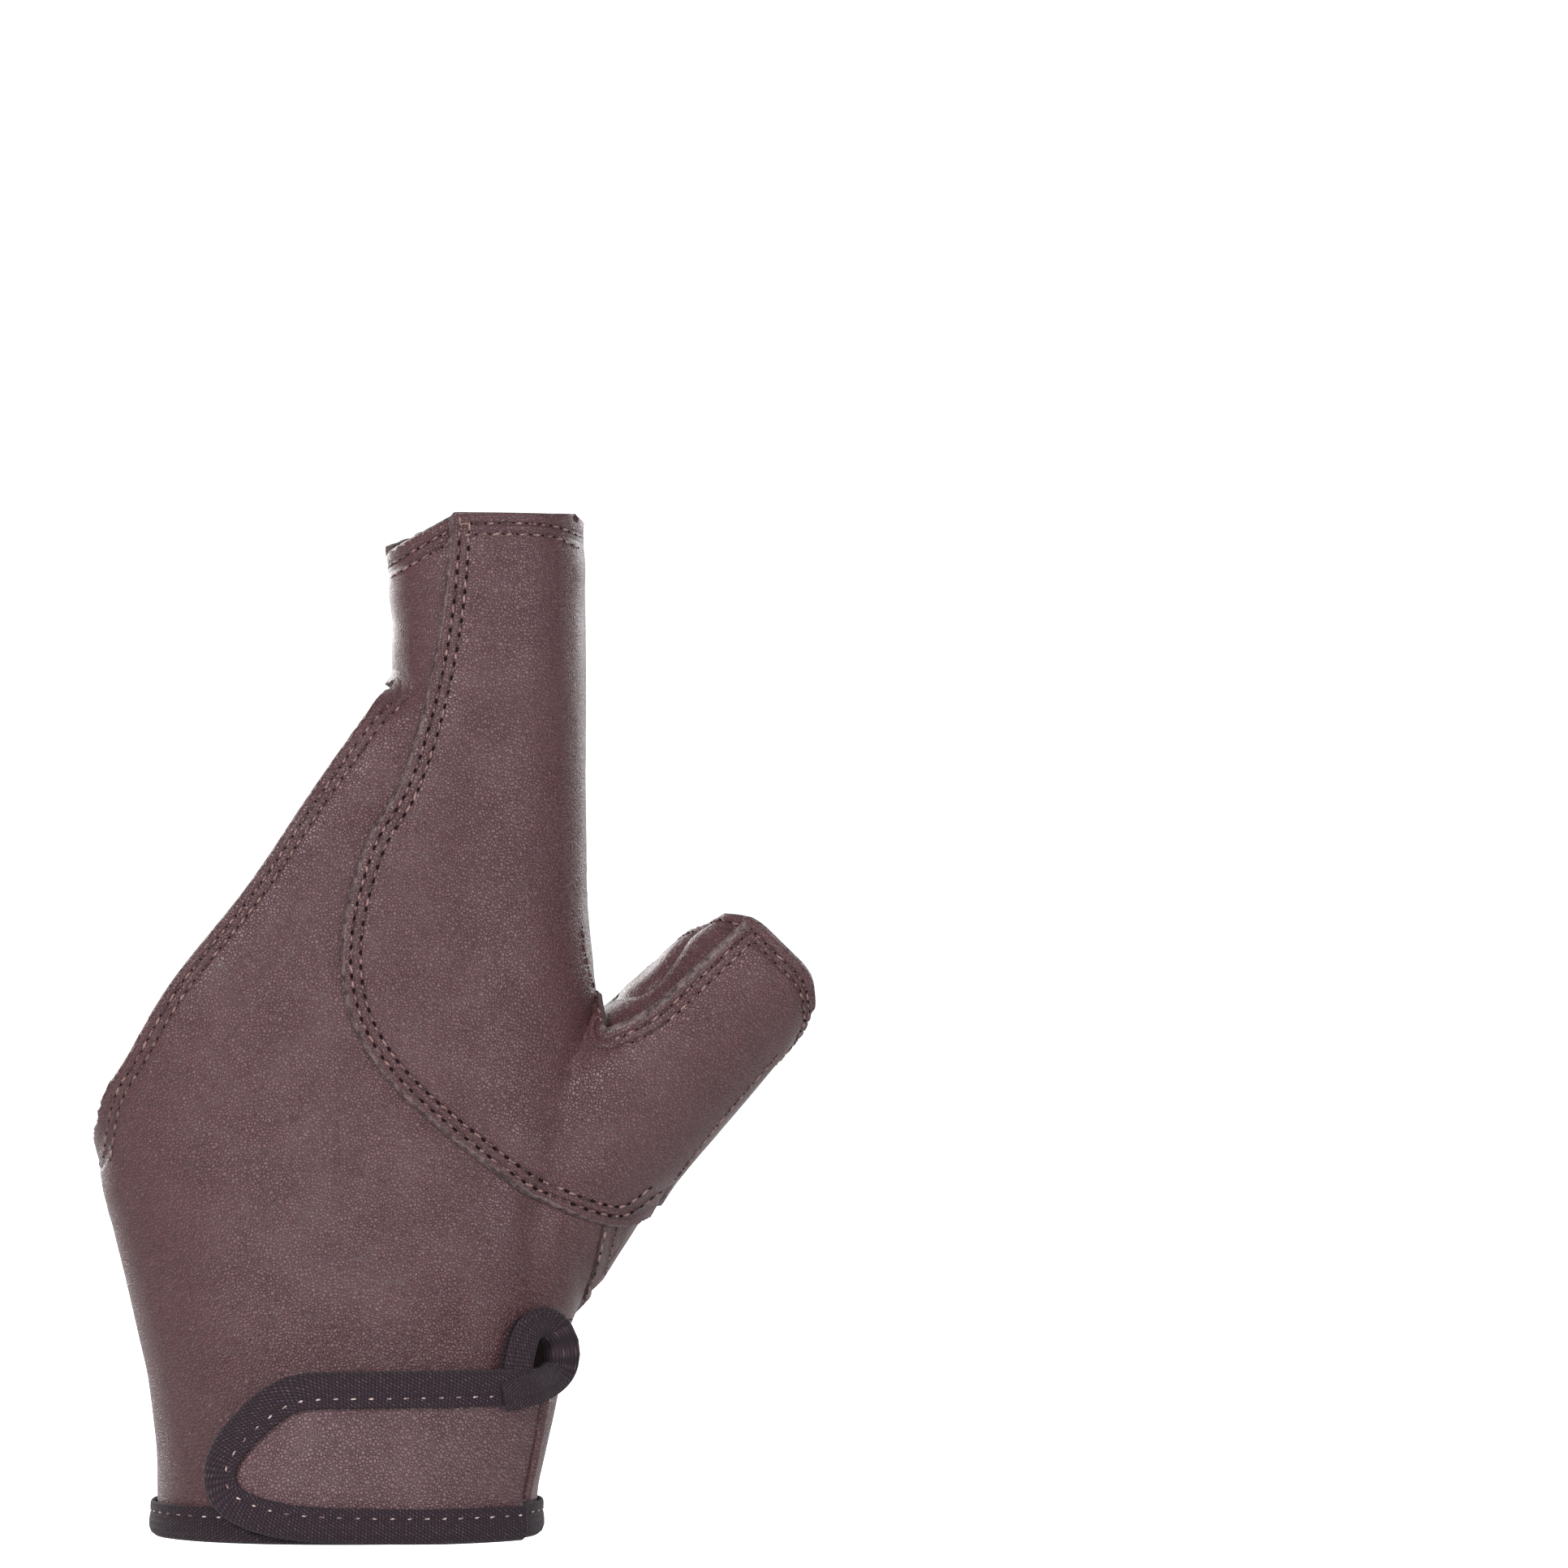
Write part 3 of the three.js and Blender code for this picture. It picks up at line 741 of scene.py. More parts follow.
leather = leatherMaterial("plum_leather", leatherLook)
plainLeather = leatherMaterial("plum_leather_plain", leatherLook, withRows=False)
# The strap's body is painted lighter than the other leathers: a painted highlight, a lit copy of the same leather with
# its own roughness and grain
strapLitLook = {**leatherLook, "body": srgb(116, 88, 94), "warm": srgb(88, 58, 61), "pebbleMm": 0.13, "roughness": 0.31,
             "cells": 1900.0}
strapLitHide = leatherMaterial("strap_leather", strapLitLook, withRows=False)
cutEdge = fibreMaterial("cut_edge", srgb(72, 57, 57), srgb(122, 108, 106))
fleshSide = fibreMaterial("flesh_side", srgb(74, 58, 58), srgb(104, 86, 84))
thread = threadMaterial("brown_thread", srgb(58, 37, 36), srgb(150, 120, 114))
# Needle holes: near-black discs laid beside the stitches, painted shade where each hole would be dark
needleHoleShade = mottled("needle_hole", 800.0, srgb(14, 8, 9), srgb(34, 20, 21))[0]
knitTape = tapeMaterial("knit_tape", tapeLook, 0.6)
ribbedTape = tapeMaterial("ribbed_tape", tapeLook, 2.2)
tapeThread = threadMaterial("pale_thread", srgb(120, 92, 92), srgb(222, 198, 194), 1500.0)
print("glove: materials ready")


# Outlines of the leathers
def thumbHold(places):
    # The thumb's opening slants: long on the back, short on the palm side
    x, y, z = places.T
    alongX, alongZ = thumbRim["heading"]
    across = alongZ * x - alongX * z
    onBack = np.clip((thumbRim["roundedTo"] - y) / thumbRim["roundedTo"], 0, 1)
    limit = np.interp(y, thumbRim["depths"], thumbRim["limits"])
    for start, reach, cut in thumbRim["corners"]:
        limit -= cut * np.clip((across - start) / reach, 0, 1) ** 2 * onBack
    return np.where(x < thumbRim["startsAt"] * glove["width"], 1.0, limit - alongX * x - alongZ * z)


thumbRim = {
    "depths": [-0.006, -0.002, 0.001, 0.004, 0.007, 0.01, 0.0125, 0.015],
    "limits": [0.1133, 0.1125, 0.1095, 0.1052, 0.1015, 0.097, 0.0928, 0.0908],
    "heading": (0.7, 0.714),  # along the thumb, in X and Z
    "corners": [(-0.012, 0.009, 0.006), (-0.019, -0.007, 0.003)],  # where across, how wide, how much is cut
    "roundedTo": 0.008,
    "startsAt": 0.38,  # as a share of the width
}
far = 0.9
hemLine = glove["tape"] + glove["clearance"]
deepBlock = 0.06
backDiagonal = smoothLine([(0.073, 0.829), (0.032, 0.801), (-0.045, 0.726), (-0.131, 0.637),
                           (-0.238, 0.543), (-0.298, 0.473), (-0.333, 0.431), (-0.352, 0.373)])
palmDiagonal = smoothLine([(0.103, 0.829), (0.076, 0.763), (0.045, 0.683), (-0.005, 0.613),
                           (-0.064, 0.562), (-0.19, 0.464), (-0.308, 0.39), (-0.352, 0.356)])
backSeam = smoothLine([(0.153, 1.03), (0.144, 0.924), (0.121, 0.828), (0.083, 0.74), (0.033, 0.677),
                       (0.002, 0.595), (0.006, 0.526), (0.042, 0.469), (0.11, 0.416), (0.231, 0.348),
                       (0.292, 0.324), (0.386, 0.303), (0.446, 0.324)])
webEdge = smoothLine([(0.37, 0.494), (0.429, 0.515), (0.495, 0.557), (0.556, 0.597)])
fingerSeam = smoothLine([(0.213, 1.03), (0.25, 0.885), (0.292, 0.746), (0.335, 0.618), (0.367, 0.523)])
thumbSeam = smoothLine([(0.361, 0.253), (0.319, 0.226), (0.286, 0.201), (0.247, 0.182), (0.165, 0.195),
                        (0.074, 0.228), (0.032, 0.292), (0.038, 0.371), (0.077, 0.461), (0.187, 0.571)])
palmNotch = shares([(0.182, 0.53), (0.182, 0.457), (0.2, 0.449), (0.262, 0.475), (0.335, 0.503)])
thumbFreeEdge = smoothLine([(0.425, 0.312), (0.452, 0.353), (0.506, 0.4), (0.565, 0.45), (0.615, 0.501)])
sideSeam = shares([(0.374, 0.338), (0.359, 0.305), (0.344, 0.262), (0.318, 0.215)])
fingerTop = shares([(0, 0.939), (0.057, 0.96), (0.161, 1), (0.313, 0.999), (0.334, 0.984), (0.407, 0.958)])
# The back's leather goes under the palm's at the side seam
sideTuck = {"under": 0.0012, "beside": 0.00003, "deep": 0.0011, "slope": 0.0006}
palmWallEdge = 0.095 * glove["width"]
webLimit = 0.348 * glove["width"]  # the palm's leather stops here beside the index finger
slitSides, slitTop = (0.165, 0.19), 0.213


def below(line, top=glove["length"]):
    return [p for p in line if p[1] < top]


def bottom(x):
    return np.array([x * glove["width"], hemLine])


def movedX(line, distance):
    return [p + np.array([distance, 0]) for p in line]


fingerSide = shares([(0.366, 0.507), (0.3605, 0.53), (0.365, 0.55), (0.41, 0.57)]) + fingerTop[:2:-1]

backOutline = (
    [share(0, 0.829)] + fingerTop[:3]
    + below(shifted(backSeam[:81], glove["lap"])) + movedX(sideSeam, sideTuck["under"])
    + shares([(0.302, slitTop), (0.246, slitTop), (0.246, 0.175), (0.2, 0.14), (slitSides[0], 0.1)])
    + [bottom(slitSides[0]), bottom(-far), share(-far, 0.373)] + backDiagonal[::-1]
)
sleeveWall = [share(-0.02, 0.829), np.array([palmWallEdge - halfGap, 0.829 * glove["length"]]),
              np.array([palmWallEdge - halfGap, 0.98 * glove["length"]]), share(-0.02, 0.939)]
overlayOutline = (
    below(backSeam) + shares([(0.5, 0.27), (0.75, 0.4), (0.75, 0.65), (0.61, 0.637)])
    + webEdge[::-1] + fingerSide + [share(0.153, 1)]
)
fingerWrap = below(fingerSeam) + fingerSide + [share(0.213, 1)]
thumbWrap = thumbFreeEdge + shares([(0.75, 0.63), (0.75, 0.4), (0.5, 0.27)])
palmOutline = (
    [bottom(-far), share(-far, 0.356)] + palmDiagonal[::-1]
    + [np.array([palmWallEdge + halfGap, z * glove["length"]]) for z in (0.829, 0.983)]
    + shares([(0.13, 0.99), (0.29, 0.999)])
    + [np.array([min(p[0], webLimit), p[1]]) for p in below(shifted(fingerSeam, glove["lap"]), glove["length"] * 0.98)]
    + palmNotch[::-1] + thumbSeam[::-1] + shares([(0.42, 0.262), (0.6, 0.3)]) + [bottom(0.6)]
)
wristWrap = (
    movedX(sideSeam, sideTuck["beside"])
    + shares([(0.317, 0.2125), (0.282, 0.2125), (0.28, 0.16), (0.24, 0.125), (slitSides[1], 0.07)])
    + [bottom(slitSides[1]), bottom(far), share(far, 0.338)]
)
thumbSide = movedX(sideSeam, sideTuck["beside"]) + shares([(0.3, 0.19), (far, 0.19), (far, 0.338)])
thumbPalm = (
    shares([(0.8, 0.15), (0.4, 0.19)]) + shifted(thumbSeam, glove["lap"] - 0.001)[8:]
    + shares([(0.2, 0.61), (0.235, 0.56), (0.225, 0.495), (0.26, 0.507), (0.32, 0.535), (0.35, 0.56), (0.4, 0.62)])
    + shares([(0.55, 0.75), (0.8, 0.75)])
)
thumbWeb = (
    [share(0.33, 0.5)] + shifted(webEdge, -glove["lap"])
    + shares([(0.64, 0.62), (0.6, 0.7), (0.4, 0.64), (0.33, 0.6)])
)


# Leather pieces
panelMaterials = [leather, cutEdge, fleshSide]


def dress(piece, node):
    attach(piece, "root")
    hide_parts(node)
    return piece


topLine = smoothLine([(0.161, 1), (0.24, 1.001), (0.3, 0.998), (0.345, 0.986)])
palmTop = shares([(0.13, 0.99), (0.29, 0.999)])
notchTip = share(0.203, 0.603)


def webLip(places, side):
    # The overlay's edge stands up along the web
    away = lineDistance(places[:, [0, 2]], webEdge)
    return np.where(side < 0, 0.00055 * np.exp(-(away / 0.0008) ** 2), 0)


# Gathers on the palm side of the wrist: dark creases between puffs, under the elastic's row
gatherCreases = [smoothLine(line, 5) for line in (
    [(0.045, 0.155), (0.025, 0.127), (-0.003, 0.088), (0.001, 0.04)],
    [(-0.048, 0.166), (-0.08, 0.119), (-0.12, 0.091), (-0.117, 0.03)],
    [(-0.128, 0.166), (-0.148, 0.131), (-0.193, 0.105), (-0.201, 0.083), (-0.201, 0.04)],
    [(-0.213, 0.163), (-0.246, 0.102), (-0.269, 0.049)],
    [(0.173, 0.148), (0.207, 0.105), (0.264, 0.057)],
    [(0.09, 0.145), (0.11, 0.096), (0.114, 0.04)],
    [(0.017, 0.088), (0.05, 0.062), (0.066, 0.035)],
)]
creaseDepths = [0.0011, 0.0014, 0.0012, 0.0016, 0.0012, 0.0007, 0.0005]
elastic = smoothLine([(0.187, 0.131), (0.173, 0.154), (0.146, 0.149), (0.114, 0.142), (0.094, 0.148), (0.073, 0.166),
                      (0.05, 0.16), (0.025, 0.146), (0.009, 0.143), (-0.007, 0.153), (-0.019, 0.166), (-0.04, 0.165),
                      (-0.063, 0.149), (-0.08, 0.148), (-0.096, 0.156), (-0.108, 0.166), (-0.128, 0.161),
                      (-0.148, 0.15), (-0.165, 0.148), (-0.181, 0.157), (-0.193, 0.168), (-0.213, 0.166),
                      (-0.233, 0.149)], 5)


def gatherFolds(places, side):
    flat = places[:, [0, 2]]
    nearest = np.full(len(places), 0.05)
    crease = np.zeros(len(places))
    for line, depth in zip(gatherCreases, creaseDepths):
        away = lineDistance(flat, line)
        nearest = np.minimum(nearest, away + (0.0016 - depth) * 2)
        crease += depth * np.exp(-(away / 0.0011) ** 2)
    seamAway = lineDistance(flat, elastic)
    z = flat[:, 1] / glove["length"]
    lower = np.clip((z - 0.028) / 0.012, 0, 1) * np.clip((0.2 - z) / 0.05, 0, 1)
    lower *= np.clip((places[:, 1] - 0.001) / 0.006, 0, 1)
    inner = np.clip((0.275 - np.abs(flat[:, 0]) / glove["width"]) / 0.02, 0, 1)
    puff = 0.0014 * (1 - np.exp(-(nearest / 0.0034) ** 2)) - 0.0005
    pulled = -0.0007 * np.exp(-(seamAway / 0.0011) ** 2) * (np.abs(flat[:, 0]) < 0.028)
    return np.where(side > 0, (puff - crease) * lower * inner + pulled, 0)


webArcLines = [smoothLine(line, 5) for line in (
    [(0.35, 0.513), (0.333, 0.517), (0.31, 0.518), (0.284, 0.513), (0.261, 0.501), (0.236, 0.484)],
    [(0.305, 0.519), (0.278, 0.517), (0.247, 0.507), (0.227, 0.487)],
    [(0.311, 0.541), (0.283, 0.543), (0.255, 0.537), (0.239, 0.531)],
    [(0.261, 0.519), (0.239, 0.503), (0.222, 0.484)],
)]


def webArcs(places, side):
    # Arcs of slack leather at the root of the index finger
    push = np.zeros(len(places))
    for line, depth in zip(webArcLines, (0.0004, 0.0002, 0.0002, 0.00025)):
        away = lineDistance(places[:, [0, 2]], line)
        push += -depth * np.exp(-(away / 0.0006) ** 2) + depth * 0.6 * np.exp(-((away - 0.0016) / 0.0009) ** 2)
    return np.where(side > 0, push, 0)


thumbFoldLine = np.array(shares([(0.535, 0.443), (0.451, 0.383), (0.382, 0.33), (0.314, 0.282), (0.239, 0.225),
                                 (0.204, 0.192)]))[::-1]


def thumbFold(places, side):
    # The ball of the thumb rolls over the leather below it
    z = places[:, 2]
    beyond = (places[:, 0] - np.interp(z, thumbFoldLine[:, 1], thumbFoldLine[:, 0])) * 0.72
    sunk = -0.0022 * np.exp(-np.clip(beyond, 0, 1) / 0.0036)
    raised = 0.0005 * np.exp(np.clip(beyond, -1, 0) / 0.003)
    part = np.clip(beyond / 0.0014 + 0.5, 0, 1)
    ends = np.clip((z - 0.031) / 0.008, 0, 1) * np.clip((0.0715 - z) / 0.012, 0, 1)
    return np.where(side > 0, (sunk * part + raised * (1 - part)) * ends, 0)


def tuckedSide(places, side):
    # The back's leather dips under the palm's along the side seam
    seamX = np.interp(places[:, 2], [p[1] for p in sideSeam[::-1]], [p[0] for p in sideSeam[::-1]])
    part = np.clip((places[:, 0] - seamX) / sideTuck["slope"] + 1, 0, 1)
    return np.where(places[:, 2] > sideSeam[-1][1], -sideTuck["deep"] * part, 0)


backPanel = dress(leatherPanel("back_leather", middleLayer, [
    (backOutline, -deepBlock, -halfGap),
    (sleeveWall, -halfGap - glove["clearance"], deepBlock),
], [(backDiagonal, -1, 0.0015), (fingerTop[:3], -1, 0.0019)],
    [(backDiagonal, -1, 0.0003), (fingerTop[:3], -1, 0.0004)], panelMaterials,
    [fineWrinkles((0.1, 0.775), 0.012, 50, 0.0003, -1), fineWrinkles((0.285, 0.285), 0.009, 85, 0.0003, -1),
     tuckedSide]), "back_panel")
print("glove: back leather")

overlayPanel = dress(leatherPanel("index_thumb_leather", upperLayer, [
    (overlayOutline, -deepBlock, 0),
    (fingerWrap, -halfGap, deepBlock),
    (thumbWrap, -halfGap, deepBlock),
], [(backSeam, -1, 0.0016), (topLine, -1, 0.0019), (webEdge, -1, 0.0016),
    (fingerSeam, 1, 0.0016), (thumbFreeEdge, 1, 0.0016)],
    [(backSeam, -1, 0.0006), (topLine, -1, 0.0003), (webEdge, -1, 0.0009),
     (fingerSeam, 1, 0.0012), (thumbFreeEdge, 1, 0.001)], panelMaterials,
    [webLip, fineWrinkles((0.31, 0.4), 0.012, 70, 0.0004, -1), fineWrinkles((0.46, 0.5), 0.01, -25, 0.00022, -1)],
    thumbHold), "index_thumb_panel")
print("glove: index and thumb leather")

palmPanel = dress(leatherPanel("palm_leather", middleLayer, [
    (palmOutline, halfGap, deepBlock),
    (wristWrap, -deepBlock, glove["clearance"]),
    (thumbSide, -deepBlock, 0.0045),
], [(palmDiagonal, 1, 0.0015), (thumbSeam + [notchTip], 1, 0.0016, share(0.195, 0.594)), (sideSeam, -1, 0.0012),
    (palmTop, 1, 0.0019)],
    [(palmDiagonal, 1, 0.0003), (thumbSeam, 1, 0.0013), (palmNotch, 1, 0.0011), (palmTop, 1, 0.0003)],
    panelMaterials, [gatherFolds, webArcs]), "palm_panel")
print("glove: palm leather")


def webFolds(places, side):
    # Lengthwise folds where the web's leather is bunched beside the overlay
    away = lineDistance(places[:, [0, 2]], webEdge)
    wavy = away + 0.0007 * np.sin(places[:, 0] * 420)
    folds = -0.0007 * np.exp(-((wavy - 0.0026) / 0.0006) ** 2) - 0.0006 * np.exp(-((wavy - 0.0052) / 0.0007) ** 2)
    return np.where((away < 0.009) & (places[:, 1] < 0.006), folds, 0)


thumbPanel = dress(leatherPanel("thumb_leather", lowerLayer, [
    (thumbPalm, 0, deepBlock),
    (thumbWeb, -deepBlock, glove["clearance"]),
], [], [], panelMaterials, [webFolds, thumbFold, fineWrinkles((0.4, 0.42), 0.016, 25, 0.0003, 1)],
    thumbHold), "thumb_panel")
print("glove: thumb leather")


# Wrist skin laid flat: s runs round the back of the wrist, z up
strap = {
    "level": 0.085,  # height at which s is measured, as a share of the length
    "root": -0.35,  # where the strap ends at the thumb side, as a share of the depth
    "outline": [(0.146, 0.034), (-0.044, 0.038), (-0.124, 0.052), (-0.139, 0.07), (-0.113, 0.098),
                (-0.067, 0.126), (-0.033, 0.132), (0.061, 0.133), (0.146, 0.1335)],
}
wristAngles = np.linspace(math.pi, 2 * math.pi, 721)
levelRing = handPoints(strap["level"], wristAngles, strapLayer)
levelArc = np.concatenate([[0], np.cumsum(np.linalg.norm(np.diff(levelRing, axis=0), axis=1))])
levelArc -= np.interp(0, levelRing[:, 0], levelArc)
rootArc = float(np.interp(strap["root"] * glove["depth"], levelRing[500:, 1], levelArc[500:]))


def arcOf(x):
    return float(np.interp(x, levelRing[:, 0], levelArc))


def wristPoints(s, z, offset):
    return handPoints(z / glove["length"], np.interp(s, levelArc, wristAngles), offset)


strapLine = [(arcOf(p[0]), p[1]) for p in smoothLine(strap["outline"])]
strapLine = ([(rootArc, strapLine[0][1])] + strapLine + [(rootArc, strapLine[-1][1])])


def evenLine(line, count):
    line = np.array(line, float)
    length = np.concatenate([[0], np.cumsum(np.linalg.norm(np.diff(line, axis=0), axis=1))])
    at = np.linspace(0, length[-1], count)
    return np.stack([np.interp(at, length, line[:, c]) for c in range(line.shape[1])], axis=1), length[-1]


def softened(line, rounds):
    line = np.array(line)
    for _ in range(rounds):
        line[1:-1] = 0.25 * line[:-2] + 0.5 * line[1:-1] + 0.25 * line[2:]
    return line


strapColumns = 240
strapEven, strapLength = evenLine(strapLine, strapColumns)
strapEven = softened(strapEven, 12)

# The tape's bent section: distance in from the folded edge, and offset from the leather's inner face
tapeProfile = [
    (0.0052, 0.00168), (0.0048, 0.00188), (0.0042, 0.00192), (0.0037, 0.00178), (0.0031, 0.00194), (0.0022, 0.0021),
    (0.0013, 0.00212), (0.0006, 0.00188), (0.00022, 0.0014), (0.00012, 0.0006), (0.00022, -0.0002),
    (0.0006, -0.0006), (0.0014, -0.0007), (0.003, -0.0007), (0.005, -0.0007),
]


def sweptTape(name, columns, placeAt, length, material):
    # A grid laid along the edge and across the bent section, given its thickness by Solidify
    across = [0.0]
    for a, b in zip(tapeProfile, tapeProfile[1:]):
        across.append(across[-1] + math.dist(a, b))
    bm = bmesh.new()
    bmesh.ops.create_grid(bm, x_segments=columns - 1, y_segments=len(tapeProfile) - 1, size=1)
    tapeMap = bm.loops.layers.uv.new("tapeMap")
    grid = {}
    for vert in bm.verts:
        column = round((vert.co.x + 1) / 2 * (columns - 1))
        row = round((vert.co.y + 1) / 2 * (len(tapeProfile) - 1))
        grid[vert] = (column, row)
    for face in bm.faces:
        for loop in face.loops:
            column, row = grid[loop.vert]
            loop[tapeMap].uv = (column / (columns - 1) * length, across[row])
    column, row = np.array(list(grid.values())).T
    inward, offset = np.array(tapeProfile)[row].T
    for vert, place in zip(grid, placeAt(column, inward, offset)):
        vert.co = place
    bmesh.ops.recalc_face_normals(bm, faces=bm.faces[:])
    piece = toObject(name, bm, [material])
    wall = piece.modifiers.new("tape", "SOLIDIFY")
    wall.thickness = glove["tape"]
    wall.offset = 0
    roundEdges(piece, glove["tapeCorner"], 50)
    return piece


def besideLine(line, column, distance):
    # Points at a distance to the left of a line's points
    before, after = line[np.maximum(column - 2, 0)], line[np.minimum(column + 2, len(line) - 1)]
    along = (after - before) / np.linalg.norm(after - before, axis=1)[:, None]
    return line[column] + np.stack([-along[:, 1], along[:, 0]], axis=1) * distance[:, None]


def strapTapePlace(column, inward, offset):
    place = besideLine(strapEven, column, glove["tapeWidth"] - inward)
    return wristPoints(place[:, 0], np.maximum(place[:, 1], 0.0002), strapLayer + offset)


dress(sweptTape("strap_tape", strapColumns, strapTapePlace, strapLength, knitTape), "strap_binding")

# Strap leather: a flat grid cut to the outline, then wrapped over the wrist
bm = bmesh.new()
low, high = strapEven.min(axis=0), strapEven.max(axis=0)
bmesh.ops.create_grid(bm, x_segments=90, y_segments=40, size=0.5)
strapBlank = shifted(list(strapEven), glove["tapeWidth"] * 0.5)
strapBlank += [np.array([rootArc + 0.01, z]) for z in (high[1], low[1])]
margin = 0.004
for vert in bm.verts:
    vert.co = ((low[0] - margin) + (vert.co.x + 0.5) * (rootArc - low[0] + margin), 0,
               low[1] - margin + (vert.co.y + 0.5) * (high[1] - low[1] + 2 * margin))
trim(bm, lambda places: insideOutline(places[:, [0, 2]], strapBlank))
flat = positions(bm)
for vert, place in zip(bm.verts, wristPoints(flat[:, 0], np.maximum(flat[:, 2], 0.0015), strapLayer)):
    vert.co = place
bmesh.ops.recalc_face_normals(bm, faces=bm.faces[:])
if sum(face.normal.y for face in bm.faces) > 0:
    bmesh.ops.reverse_faces(bm, faces=bm.faces[:])
strapLeather = toObject("strap_leather", bm, [strapLitHide, cutEdge, fleshSide])
addWall(strapLeather)
dress(strapLeather, "wrist_strap")
print("glove: strap and its tape")

# Rolled edge of palm leather that the strap is sewn to
roll = {"low": 0.0062, "high": 0.0216, "aside": 0.0013, "wide": 0.0014, "middle": 0.0031, "deep": 0.0021}
rings = []
for z in np.linspace(roll["low"], roll["high"], 26):
    wide = roll["wide"] * (0.8 + 0.35 * (z - roll["low"]) / (roll["high"] - roll["low"]))
    around = np.linspace(0, 2 * np.pi, 28, endpoint=False)
    s = rootArc + roll["aside"] + wide * np.cos(around)
    inner, outer = [wristPoints(s, np.full(28, z), offset) for offset in (0.0, 0.01)]
    depthShare = ((roll["middle"] + roll["deep"] * np.sin(around)) / 0.01)[:, None]
    rings.append(inner + (outer - inner) * depthShare)
bm = bmesh.new()
ringTube(bm, rings)
bmesh.ops.recalc_face_normals(bm, faces=bm.faces[:])
dress(toObject("rolled_edge", bm, [plainLeather]), "palm_panel")

# Hem tape, open at the slit under the strap
hemColumns = 420
slitAngles = [float(np.interp(x * glove["width"], levelRing[:, 0], wristAngles)) for x in slitSides]
hemAngles = np.linspace(slitAngles[1], slitAngles[0] + 2 * math.pi, hemColumns)


def hemPlace(column, inward, offset):
    return handPoints(inward / glove["length"], hemAngles[column], offset)


hemLength = 0.155
dress(sweptTape("hem_tape", hemColumns, hemPlace, hemLength, ribbedTape), "wrist_binding")

# Vent tape: a loop that leaves the strap's top tape and turns round the end of the slit
vent = {
    # across, up and how far back, as shares of width, length and depth, then how far it faces the thumb
    "line": [(0.242, 0.149, -0.42, 0.3), (0.243, 0.164, -0.42, 0.35), (0.248, 0.186, -0.4, 0.4),
             (0.257, 0.204, -0.375, 0.45), (0.274, 0.212, -0.33, 0.5), (0.293, 0.204, -0.27, 0.55),
             (0.304, 0.186, -0.24, 0.55), (0.302, 0.168, -0.27, 0.55), (0.288, 0.1555, -0.36, 0.5),
             (0.262, 0.1475, -0.465, 0.35), (0.225, 0.142, -0.49, 0.25)],
    "halfWidth": 0.0021,
    "columns": 120,
}
ventFlat = smoothLine([row[:2] for row in vent["line"]])
ventMore = smoothLine([row[2:] for row in vent["line"]])
ventLine = np.hstack([np.array(ventFlat), np.array(ventMore)])
ventLine[:, 2] *= glove["depth"] / glove["width"]
ventLine[:, 3] /= glove["length"]
ventEven, _ = evenLine(ventLine, vent["columns"])
ventLength = 0.034


def ventPlace(column, inward, offset):
    aside = (inward / glove["tapeWidth"] * 2 - 1) * vent["halfWidth"]
    flat = besideLine(ventEven[:, :2], column, aside)
    across = flat - ventEven[column, :2]
    lean = ventEven[column, 3]
    facing = -np.sqrt(1 - lean ** 2)
    lift = offset - 0.0007
    return np.stack([flat[:, 0] + lean * lift, ventEven[column, 2] - lean * across[:, 0] / facing + facing * lift,
                     flat[:, 1]], axis=1)


dress(sweptTape("vent_tape", vent["columns"], ventPlace, ventLength, knitTape), "vent_binding")
print("glove: hem and vent tapes")


# Stitches
# hole: size of the near-black disc of painted shade at each needle hole
fine = {"pitch": 0.00215, "length": 0.0014, "width": 0.0004, "height": 0.00042, "hole": 0.0005}
stitch = {"pitch": 0.00225, "length": 0.0015, "width": 0.00042, "height": 0.00046, "hole": 0.0009}
tapeStitch = {"pitch": 0.0027, "length": 0.0009, "width": 0.00032, "height": 0.0004, "hole": 0.0}


def laidOn(tree, line, side):
    # Drops a line in X and Z onto the surface from the back (-1) or the palm (1)
    found = []
    for x, z in evenLine(line, max(int(len(line) * 12), 60))[0]:
        hit, normal, _, _ = tree.ray_cast(Vector((x, side * 0.08, z)), Vector((0, -side, 0)))
        if hit is not None and normal.y * side > 0.22:
            found.append((hit, normal))
    return found


def bead(u, v, slot):
    made = bmesh.new()
    bmesh.ops.create_uvsphere(made, u_segments=u, v_segments=v, radius=1)
    for face in made.faces:
        face.material_index = slot
        face.smooth = True
    return made


threadBead, holeBead = bead(6, 6, 0), bead(7, 4, 1)
spare = bpy.data.meshes.new("spare")


def addBead(bm, shape, matrix):
    placed = shape.copy()
    placed.transform(matrix)
    placed.to_mesh(spare)
    placed.free()
    bm.from_mesh(spare)


